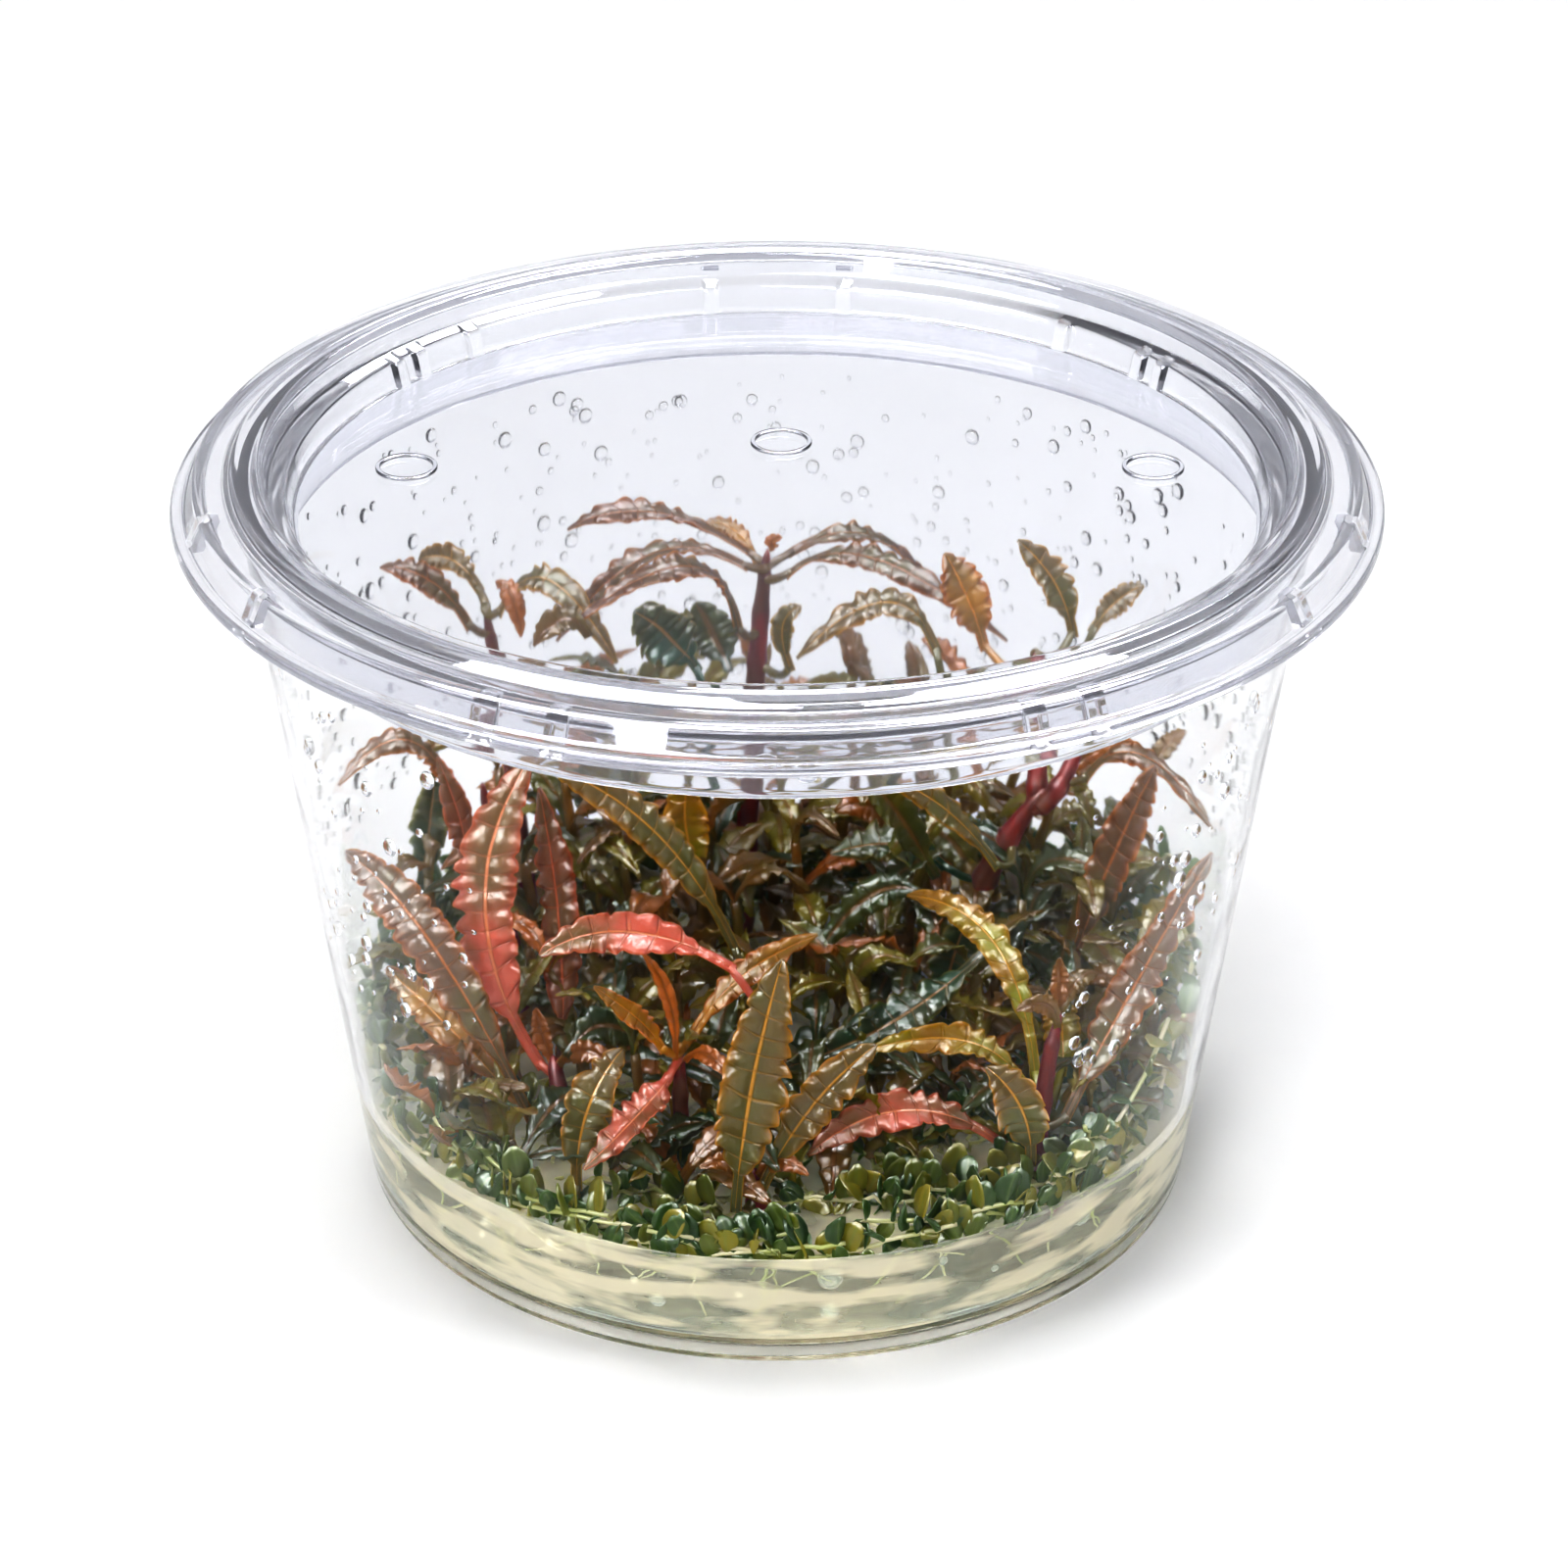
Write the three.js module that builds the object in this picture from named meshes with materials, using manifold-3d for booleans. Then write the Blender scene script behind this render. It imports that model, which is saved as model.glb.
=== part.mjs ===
// Tissue culture plants in a round clear cup with a plug lid, in millimetres, +Z up.
// The origin is the centre of the cup's foot. The front of the cup faces -Y.

import * as THREE from 'three';
import { mergeVertices } from 'three/addons/utils/BufferGeometryUtils.js';
import Module from 'manifold-3d';

const wasm = await Module();
wasm.setup();

// Driving dimensions
const GAP = 0.3;               // between pieces that touch
const SIDES = 56;              // flats round the cup and the lid
const FOOT_R = 42.7;           // outside radius of the cup where it stands
const DRAFT = 0.1325;          // growth of the cup's radius for each millimetre of height
const WALL = 1.1;              // thickness of the cup's wall
const FLOOR = 1.2;             // thickness of the cup's floor
const FLOOR_RISE = 1.4;        // the floor's underside stands clear of the table by this
const NECK_Z = 73;             // the cup's wall is upright above this height
const RIM_Z = 77;              // top of the cup's rim
const LIP_R = 59;              // outside radius of the lid's lip
const LIP_Z = 73.4;            // underside of the lid's lip
const LID_Z = 78.5;            // top of the lid's bead
const PANEL_Z = 73;            // top of the lid's sunk panel
const PANEL = 1;               // thickness of the panel
const PLUG_Z = 66.6;           // lower edge of the plug wall
const PLUG_R = 49.7;           // outside radius of the plug wall at that edge
const GEL_Z = 12;              // top of the gel

const object = new THREE.Group();

// Materials, one function for each finish
const clearPlastic = () => new THREE.MeshStandardMaterial({
  color: 0xe6e8ee, roughness: 0.06, metalness: 0, transparent: true, opacity: 0.3,
});
const clearGel = () => new THREE.MeshStandardMaterial({
  color: 0xe9e2bd, roughness: 0.12, metalness: 0, transparent: true, opacity: 0.6,
});
const stemSkin = () => new THREE.MeshStandardMaterial({
  color: 0x7c2a2b, roughness: 0.4, metalness: 0,
});
const LEAF_TONES = {
  brown: 0x7a4a34,
  olive: 0x6b6a35,
  dark: 0x34443a,
  green: 0x7f8a2c,
  orange: 0xb0602c,
  pink: 0xc2604f,
  red: 0x8c4336,
};
const leafSkin = (tone) => new THREE.MeshStandardMaterial({
  color: LEAF_TONES[tone], roughness: 0.35, metalness: 0,
});

// Names a mesh and adds it to the object
function place(name, geometry, material) {
  const mesh = new THREE.Mesh(geometry, material);
  mesh.name = name;
  object.add(mesh);
  return mesh;
}

// A body of revolution about Z from a closed outline of [radius, height] points,
// which runs anticlockwise with the radius to the right and the height up
function turned(outline, sides = SIDES) {
  const points = outline.map(([radius, height]) => new THREE.Vector2(radius, height));
  const geometry = new THREE.LatheGeometry(points, sides);
  geometry.rotateX(Math.PI / 2);
  return geometry;
}

// Merges shared corners and drops the triangles that close to nothing on the axis
function welded(geometry) {
  geometry.deleteAttribute('normal');
  geometry.deleteAttribute('uv');
  const merged = mergeVertices(geometry, 1e-4);
  const corners = merged.index.array;
  const kept = [];
  for (let i = 0; i < corners.length; i += 3) {
    const [a, b, c] = [corners[i], corners[i + 1], corners[i + 2]];
    if (a !== b && b !== c && c !== a) {
      kept.push(a, b, c);
    }
  }
  merged.setIndex(kept);
  return merged;
}

// Joins closed geometries into one body
function joined(geometries) {
  const solids = geometries.map((geometry) => {
    const merged = welded(geometry);
    return new wasm.Manifold(new wasm.Mesh({
      numProp: 3,
      vertProperties: new Float32Array(merged.attributes.position.array),
      triVerts: new Uint32Array(merged.index.array),
    }));
  });
  const mesh = solids.reduce((sum, solid) => sum.add(solid)).getMesh();
  const geometry = new THREE.BufferGeometry();
  geometry.setAttribute('position', new THREE.BufferAttribute(mesh.vertProperties, 3));
  geometry.setIndex(new THREE.BufferAttribute(mesh.triVerts, 1));
  geometry.computeVertexNormals();
  return geometry;
}

// Radius of the cup's outside at a height
const cupRadius = (z) => FOOT_R + DRAFT * Math.min(z, NECK_Z);

// Cup: foot ring, floor, tapered wall and a plain upright rim
function cup() {
  const floorTop = FLOOR_RISE + FLOOR;
  const inside = (z) => cupRadius(z) - WALL;
  return turned([
    [0, FLOOR_RISE],
    [39.6, FLOOR_RISE],
    [40.4, 0],
    [FOOT_R - 0.5, 0],
    [cupRadius(0.5), 0.5],
    [cupRadius(NECK_Z), NECK_Z],
    [cupRadius(NECK_Z), RIM_Z],
    [inside(NECK_Z), RIM_Z],
    [inside(NECK_Z), NECK_Z],
    [inside(4.5), 4.5],
    [inside(4.5) - 1.6, floorTop],
    [0, floorTop],
  ]);
}

// Lid: section from the panel over the bead to the lip, and back under the skirt,
// round the channel for the cup's rim and down the plug wall
function lidShell() {
  const rimRoof = RIM_Z + GAP + 0.1;
  return turned([
    [0, PANEL_Z - PANEL],
    [48.2, PANEL_Z - PANEL],
    [PLUG_R - 1.3, PLUG_Z + 0.3],
    [PLUG_R - 1, PLUG_Z],
    [PLUG_R - 0.3, PLUG_Z],
    [PLUG_R, PLUG_Z + 0.4],
    [50.5, 75.2],
    [50.8, rimRoof],
    [52.9, rimRoof],
    [53.1, 76.4],
    [55.7, 76.4],
    [57.1, LIP_Z],
    [LIP_R - 0.3, LIP_Z],
    [LIP_R, LIP_Z + 0.3],
    [LIP_R, 74.5],
    [LIP_R - 0.2, 74.8],
    [57.9, 74.8],
    [56.6, 77.4],
    [53.9, 77.4],
    [53.4, 77.9],
    [52.7, LID_Z],
    [50.4, LID_Z],
    [49.5, 76.3],
    [47.9, 75.6],
    [47.2, PANEL_Z],
    [0, PANEL_Z],
  ]);
}

// An upright rib: a small block whose middle is at a compass angle from the front
function rib(degrees, radius, deep, wide, low, high) {
  const geometry = new THREE.BoxGeometry(wide, deep, high - low);
  geometry.translate(0, -radius, (low + high) / 2);
  geometry.rotateZ(THREE.MathUtils.degToRad(degrees));
  return geometry;
}

const SKIRT_RIBS = [-76, -58, -27, -20, 23.6, 29.7, 58, 76, 172.5, 187.5];
const RECESS_RIBS = [171.5, 188.5, 141, 128, 124, 231, 235, 222];
const RING_SPOTS = [[-36.8, 6.9], [0.4, 13], [37.3, 6.9]];

// Small raised ring on the panel
function panelRing([x, y]) {
  const geometry = turned([
    [2.6, PANEL_Z - 0.3],
    [3.1, PANEL_Z - 0.3],
    [3.1, PANEL_Z + 0.25],
    [2.6, PANEL_Z + 0.25],
    [2.6, PANEL_Z - 0.3],
  ], 16);
  geometry.translate(x, y, 0);
  return geometry;
}

function lid() {
  const pieces = [lidShell()];
  for (const degrees of SKIRT_RIBS) {
    pieces.push(rib(degrees, 56, 1.2, 1.5, 73.9, 76.8));
  }
  for (const degrees of RECESS_RIBS) {
    pieces.push(rib(degrees, 47.3, 1, 1.8, PANEL_Z - 0.4, 75.4));
  }
  for (const spot of RING_SPOTS) {
    pieces.push(panelRing(spot));
  }
  return joined(pieces);
}

// Gel: a disc that follows the cup's inside and climbs a little at the wall
function gel() {
  const room = (z) => cupRadius(z) - WALL - GAP;
  const bottom = FLOOR_RISE + FLOOR + GAP;
  return turned([
    [0, bottom],
    [room(5) - 1.8, bottom],
    [room(5), 5],
    [room(GEL_Z), GEL_Z + 0.6],
    [room(GEL_Z) - 1.4, GEL_Z],
    [0, GEL_Z],
  ]);
}

// Stem: a round tube along a smooth curve through its points
function stem(points, radius) {
  const route = new THREE.CatmullRomCurve3(points.map((p) => new THREE.Vector3(...p)));
  const section = new THREE.Shape();
  section.absarc(0, 0, radius, 0, 2 * Math.PI, false);
  return new THREE.ExtrudeGeometry(section, {
    extrudePath: route,
    steps: 5,
    curveSegments: 3,
    bevelEnabled: false,
  });
}

// Leaf: a flattened ball drawn out along a bent midrib, narrow for the first part
// as a stalk, widest before the middle of the blade, pointed at the tip
const STALK_SHARE = 0.16;      // share of the midrib that is stalk
const STALK_HALF = 0.45;       // half width of the stalk
const LEAF_HALF_THICK = 0.28;

function leafHalfWidth(t, width) {
  if (t < STALK_SHARE) {
    return STALK_HALF;
  }
  const s = (t - STALK_SHARE) / (1 - STALK_SHARE);
  const blade = 0.5 * width * Math.sin(Math.PI * s ** 0.8) ** 0.7;
  return Math.max(blade, STALK_HALF * (1 - 0.6 * s));
}

function leaf(base, middle, tip, width, lean) {
  const [from, through, to] = [base, middle, tip].map((p) => new THREE.Vector3(...p));
  const pull = through.clone().multiplyScalar(2).sub(from.clone().add(to).multiplyScalar(0.5));
  const midrib = new THREE.QuadraticBezierCurve3(from, pull, to);
  const turn = THREE.MathUtils.degToRad(lean);
  const faces = new THREE.Vector3(0, -Math.sin(turn), Math.cos(turn));
  const geometry = new THREE.SphereGeometry(1, 4, 8);
  const position = geometry.attributes.position;
  for (let i = 0; i < position.count; i += 1) {
    const t = (position.getY(i) + 1) / 2;
    const ring = Math.sqrt(Math.max(0, 1 - position.getY(i) ** 2));
    const along = midrib.getTangent(t);
    const side = along.clone().cross(faces).normalize();
    const normal = side.clone().cross(along);
    const share = ring > 1e-6 ? 1 / ring : 0;
    const across = position.getX(i) * share * leafHalfWidth(t, width);
    const thick = position.getZ(i) * share * LEAF_HALF_THICK;
    const point = midrib.getPoint(t).addScaledVector(side, across).addScaledVector(normal, thick);
    position.setXYZ(i, point.x, point.y, point.z);
  }
  const closed = welded(geometry);
  closed.computeVertexNormals();
  return closed;
}

// Small leaves of the tuft's middle and back: lumps that stand on the gel, joined in one body.
// Each has its centre and its half sizes, and keeps clear of the stems and the large leaves.
const FOLIAGE_LUMPS = [
  [[5, 3, 19.3], [13, 10, 11]],
  [[-6, -2, 17], [9, 8, 7]],
  [[13, 22, 22], [12, 11, 17]],
  [[-16, 22, 22], [9, 10, 16]],
  [[-17, 7, 18], [8, 8, 10]],
  [[-2, -14, 16], [10, 7, 5.5]],
  [[8, -10, 16], [10, 6, 5]],
  [[26, 15, 19], [7, 8, 11]],
  [[33.5, 8, 17], [4.8, 7, 9]],
  [[0, 32, 20], [16, 6, 12]],
];

// A ball with shallow dents, scaled to its half sizes and flat where it meets the gel
function foliageLump([centre, half]) {
  const geometry = new THREE.SphereGeometry(1, 10, 6);
  geometry.rotateX(Math.PI / 2);
  const position = geometry.attributes.position;
  for (let i = 0; i < position.count; i += 1) {
    const [x, y, z] = [position.getX(i), position.getY(i), position.getZ(i)];
    const dent = 0.94 + 0.06 * Math.sin(5 * x + 2) * Math.sin(6 * z + centre[0]);
    position.setXYZ(
      i,
      centre[0] + half[0] * x * dent,
      centre[1] + half[1] * y * dent,
      Math.max(centre[2] + half[2] * z * dent, GEL_Z + GAP),
    );
  }
  return geometry;
}

const innerFoliage = () => joined(FOLIAGE_LUMPS.map(foliageLump));

// Small round leaves along the wall, as one ring whose top rises at the left and right
function carpet() {
  const low = GEL_Z + GAP + 0.7;
  const inner = 40;
  const outer = cupRadius(low) - WALL - GAP - 0.1;
  const geometry = turned([
    [inner, low],
    [outer, low],
    [outer, low + 1],
    [inner, low + 1],
    [inner, low],
  ], 40);
  const position = geometry.attributes.position;
  for (let i = 0; i < position.count; i += 1) {
    if (position.getZ(i) > low + 0.5) {
      const [x, y] = [position.getX(i), position.getY(i)];
      const angle = Math.atan2(x, -y);
      const rise = 1.8 + 7.5 * Math.sin(angle) ** 4 + 0.5 * Math.sin(7 * angle);
      position.setZ(i, low + rise);
    }
  }
  return geometry;
}

place('cup', cup(), clearPlastic());
place('lid', lid(), clearPlastic());
place('gel', gel(), clearGel());

// Stems: name, points from the gel up, radius
const ON_GEL = GEL_Z + GAP + 0.3;
const STEMS = [
  ['back_stem', [[-4, 20, ON_GEL], [-2.5, 21.5, 38], [-1, 22.5, 52]], 1.2],
  ['back_left_stem', [[-26, 17, ON_GEL], [-28.5, 19.5, 34], [-30.5, 21, 47]], 1],
  ['left_stem', [[-26, 3, ON_GEL], [-28.5, 2, 28], [-30, 1, 41]], 0.9],
  ['front_left_stem', [[-21.5, -18.5, ON_GEL], [-21.6, -18.2, 14], [-22.3, -16.8, 16.3]], 1.2],
  ['centre_stem', [[-9, -24, ON_GEL], [-9.5, -23.5, 17], [-9.5, -22.5, 22]], 0.9],
  ['front_stem', [[-2, -32, ON_GEL], [-2, -32, 13.5], [-2, -32, 15]], 1.1],
  ['right_front_stem', [[25.5, -26, ON_GEL], [26, -25.5, 20], [27.5, -24, 29]], 1],
  ['right_stem', [[18, 9, ON_GEL + 0.3], [21.5, 6.8, 26], [27, 5, 36]], 1.4],
  ['right_branch_1', [[27, 6, 38], [26.5, 8, 43], [26.5, 10, 48]], 1],
  ['right_branch_2', [[28.5, 4.5, 37], [30, 5, 39.5], [31, 7, 43]], 0.9],
];

for (const [name, points, radius] of STEMS) {
  place(name, stem(points, radius), stemSkin());
}

// Leaves: name, stalk end, middle of the midrib, tip, width, lean, tone.
// The lean turns the upper side from straight up (0) to the front (90).
const LEAVES = [
  ['back_leaf_1', [-2.5, 25, 54], [-13, 26, 58.5], [-22, 27, 56], 3.6, 20, 'brown'],
  ['back_leaf_2', [-3, 21, 54.5], [-13, 20, 56.5], [-23, 19, 47], 3.6, 25, 'brown'],
  ['back_leaf_3', [-4, 18, 48.5], [-9, 12, 59], [-20.5, 7, 55], 3.8, 30, 'brown'],
  ['back_leaf_4', [1, 21, 53.5], [10, 20, 56], [24, 19, 47], 3.8, 25, 'brown'],
  ['back_leaf_5', [1, 25, 54], [9, 28, 55], [16, 30, 48.5], 3.2, 25, 'brown'],
  ['back_leaf_6', [16.5, 12, 49], [11, 12, 55], [2, 12, 48.5], 4.2, 35, 'olive'],
  ['back_leaf_7', [-2.5, 27, 53], [-4.5, 29, 55], [-7.5, 30, 55.5], 3, 30, 'orange'],
  ['back_leaf_8', [1.5, 18, 44], [0.5, 17, 49.5], [2.5, 16, 52.5], 3, 60, 'olive'],
  ['back_leaf_9', [-8, 10, 48], [-11, 9, 52.5], [-14.5, 8, 56], 8, 62, 'dark'],
  ['back_left_leaf_1', [-32, 20, 48], [-36, 19, 54], [-41, 18, 56], 4.2, 40, 'brown'],
  ['back_left_leaf_2', [-31, 22.5, 51], [-34, 23, 54.5], [-37.5, 24, 54], 4.2, 45, 'olive'],
  ['back_left_leaf_3', [-29, 19, 50], [-23.5, 16, 55.5], [-16.5, 12, 48], 4, 35, 'olive'],
  ['back_right_leaf_1', [21.5, 14, 48.5], [19.5, 14, 54.5], [17, 14, 59.5], 5.5, 70, 'orange'],
  ['back_right_leaf_2', [30.5, 14, 50], [28.5, 14, 56], [24.5, 14, 61], 4.2, 65, 'olive'],
  ['back_right_leaf_3', [32.5, 17, 49], [35, 18, 52], [38, 19, 53.5], 3.4, 60, 'olive'],
  ['left_leaf_1', [-32.5, 6, 32], [-37, 2, 45], [-44.5, -2, 42], 3.2, 30, 'brown'],
  ['left_leaf_2', [-38, 12, 22], [-36.5, 10, 30.5], [-35.5, 8, 38.5], 4.2, 70, 'dark'],
  ['left_leaf_3', [-31, -2, 29.5], [-32, -3, 38.5], [-34, -4, 46.5], 3.4, 65, 'red'],
  ['left_leaf_4', [-23.5, -16, 17.5], [-29, -13, 34], [-24.5, -7, 48], 6.6, 70, 'pink'],
  ['left_leaf_5', [-22, -12, 16.5], [-22, -7, 28], [-24, -2, 42], 4.6, 70, 'red'],
  ['left_leaf_6', [-24, -21, 13.5], [-34, -17, 32.5], [-43, -10, 39], 5.4, 62, 'brown'],
  ['left_leaf_7', [-25.5, -16, 12.7], [-33.5, -13, 21], [-39.5, -9, 25], 4.2, 55, 'orange'],
  ['left_leaf_8', [-4, -12, 28.5], [-12, -14, 43.5], [-23, -17, 53], 4.2, 50, 'olive'],
  ['left_leaf_9', [-7.5, 10, 24], [-9.5, 9, 31], [-9, 8, 38], 5, 75, 'green'],
  ['front_leaf_1', [-4, -27, 35.5], [-14, -29, 41], [-22.5, -31, 39.5], 4.2, 50, 'pink'],
  ['front_leaf_2', [-11, -25, 25], [-13.5, -27, 30], [-17.5, -30, 35.5], 2.4, 45, 'orange'],
  ['front_leaf_3', [-8.5, -21, 24], [-3.5, -19, 30], [4, -16, 33], 3, 45, 'orange'],
  ['front_leaf_4', [-10.5, -26, 23], [-13, -30, 21.5], [-18.5, -36, 18.5], 3.8, 40, 'pink'],
  ['front_leaf_5', [-19.5, -31.5, 13], [-18.5, -30, 21], [-15, -26, 26], 5, 68, 'olive'],
  ['front_leaf_6', [-4, -36, 13.5], [-2.5, -37, 28], [0.5, -35, 41.5], 6.6, 75, 'olive'],
  ['front_leaf_7', [-1.5, -34, 15], [3.5, -33, 24], [9.5, -31, 29.5], 4.6, 60, 'olive'],
  ['front_leaf_8', [22.5, -25, 14], [12.5, -27, 19.5], [3, -29, 15.5], 4.2, 40, 'pink'],
  ['front_leaf_9', [24.6, -30, 15], [23.5, -31.5, 22.5], [20, -31, 27], 5, 70, 'olive'],
  ['front_leaf_10', [21.5, -8, 27], [12, -14, 22], [0.5, -20, 20], 5, 50, 'dark'],
  ['front_leaf_11', [24.5, -23, 19.5], [18.5, -23, 25], [9, -23, 24], 3.4, 40, 'green'],
  ['front_leaf_12', [25.5, -22, 20], [21.5, -17, 32.5], [13, -9, 33.5], 3.6, 50, 'green'],
  ['right_leaf_1', [28, -26, 17.5], [34.5, -20, 28.5], [43, -12, 40], 4.6, 62, 'brown'],
  ['right_leaf_2', [29.5, -20, 16.5], [34, -15, 21.5], [39.5, -10, 28], 4.2, 60, 'dark'],
  ['right_leaf_3', [30.5, 1, 19], [34, -1, 32.5], [38, -3, 45], 4.6, 65, 'brown'],
  ['right_leaf_4', [31.5, 4, 39.5], [37, 2, 43.5], [44.5, -1, 36.5], 3, 25, 'brown'],
  ['right_leaf_5', [22.5, -1, 32], [17, -4, 40.5], [10.5, -7, 46], 3.4, 45, 'olive'],
  ['right_leaf_6', [28.3, -17.5, 17.5], [28.5, -15.5, 21.5], [27.5, -13.5, 26], 3.8, 75, 'green'],
  ['middle_leaf_1', [17.5, 6, 28], [12.5, 4, 32], [5.5, 2, 32], 4.8, 45, 'dark'],
  ['middle_leaf_2', [17, -3, 16.5], [18, -4, 23], [19.5, -6, 30], 5, 60, 'dark'],
];

for (const [name, base, middle, tip, width, lean, tone] of LEAVES) {
  place(name, leaf(base, middle, tip, width, lean), leafSkin(tone));
}

place('inner_foliage', innerFoliage(), leafSkin('dark'));
place('carpet', carpet(), leafSkin('green'));

export default object;
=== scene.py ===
import math

import bmesh
import bpy
import numpy as np
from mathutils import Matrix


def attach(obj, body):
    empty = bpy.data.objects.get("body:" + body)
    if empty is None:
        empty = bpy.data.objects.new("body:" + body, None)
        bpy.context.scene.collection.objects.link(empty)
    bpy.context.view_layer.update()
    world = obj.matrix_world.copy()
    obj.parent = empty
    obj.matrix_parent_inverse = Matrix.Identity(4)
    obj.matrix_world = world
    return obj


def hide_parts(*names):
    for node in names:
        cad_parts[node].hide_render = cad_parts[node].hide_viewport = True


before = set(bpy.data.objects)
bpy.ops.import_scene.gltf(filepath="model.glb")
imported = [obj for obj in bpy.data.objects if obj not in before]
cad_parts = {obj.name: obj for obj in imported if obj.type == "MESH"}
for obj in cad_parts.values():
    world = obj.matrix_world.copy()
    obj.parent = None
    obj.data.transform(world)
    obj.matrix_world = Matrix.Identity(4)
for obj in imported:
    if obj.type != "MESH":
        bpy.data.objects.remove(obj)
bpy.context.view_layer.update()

# Camera and picture.
# The photograph's own viewing angle: 28.5 degrees above the table, level, with the cup in
# front of a long lens and its axis a little left of the middle of the picture.
CAMERA_TILT = math.radians(28.52)
CAMERA_REACH = 0.457
CAMERA_AIM_HEIGHT = 0.041
camera_data = bpy.data.cameras.new("camera")
camera_data.sensor_width = 36
camera_data.lens = 103.57
camera_data.shift_x = 0.0043
camera_data.clip_start = 0.01
camera = bpy.data.objects.new("camera", camera_data)
camera.location = (
    0,
    -CAMERA_REACH * math.cos(CAMERA_TILT),
    CAMERA_AIM_HEIGHT + CAMERA_REACH * math.sin(CAMERA_TILT),
)
camera.rotation_euler = (math.pi / 2 - CAMERA_TILT, 0, 0)
bpy.context.collection.objects.link(camera)
scene = bpy.context.scene
scene.camera = camera
scene.view_settings.view_transform = "Standard"
scene.view_settings.look = "Very High Contrast"
scene.view_settings.exposure = -0.84
scene.cycles.use_denoising = True
scene.cycles.max_bounces = 18
scene.cycles.transmission_bounces = 18
scene.cycles.transparent_max_bounces = 32
scene.cycles.glossy_bounces = 4
scene.cycles.diffuse_bounces = 2


# Studio.
# A plain near-white paper floor under soft lamps, in a pale room whose grey shows in the
# edges of the clear plastic. Shader writes every material of this file.
class Socket:
    """An output whose sums and products with others add Math nodes."""

    def __init__(self, shader, out):
        self.shader = shader
        self.out = out

    def _with(self, operation, first, second):
        """A Math node on two sockets or numbers."""
        node = self.shader.node("ShaderNodeMath", {"operation": operation}, {0: first, 1: second})
        return Socket(self.shader, node.outputs[0])

    def __add__(self, other):
        return self._with("ADD", self, other)

    def __radd__(self, other):
        return self._with("ADD", other, self)

    def __sub__(self, other):
        return self._with("SUBTRACT", self, other)

    def __rsub__(self, other):
        return self._with("SUBTRACT", other, self)

    def __mul__(self, other):
        return self._with("MULTIPLY", self, other)

    def __rmul__(self, other):
        return self._with("MULTIPLY", other, self)

    def __pow__(self, other):
        return self._with("POWER", self, other)

    def most(self, other):
        """The larger of the two."""
        return self._with("MAXIMUM", self, other)

    def size(self):
        """The value without its sign."""
        return self._with("ABSOLUTE", self, 0)

    def sine(self):
        """The sine of the value, in radians."""
        return self._with("SINE", self, 0)

    def above(self, edge, soft):
        """0 under the edge and 1 over it, eased over the width soft."""
        node = self.shader.node(
            "ShaderNodeMapRange",
            {"interpolation_type": "SMOOTHSTEP"},
            {"Value": self, "From Min": edge - soft / 2, "From Max": edge + soft / 2},
        )
        return Socket(self.shader, node.outputs[0])


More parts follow.
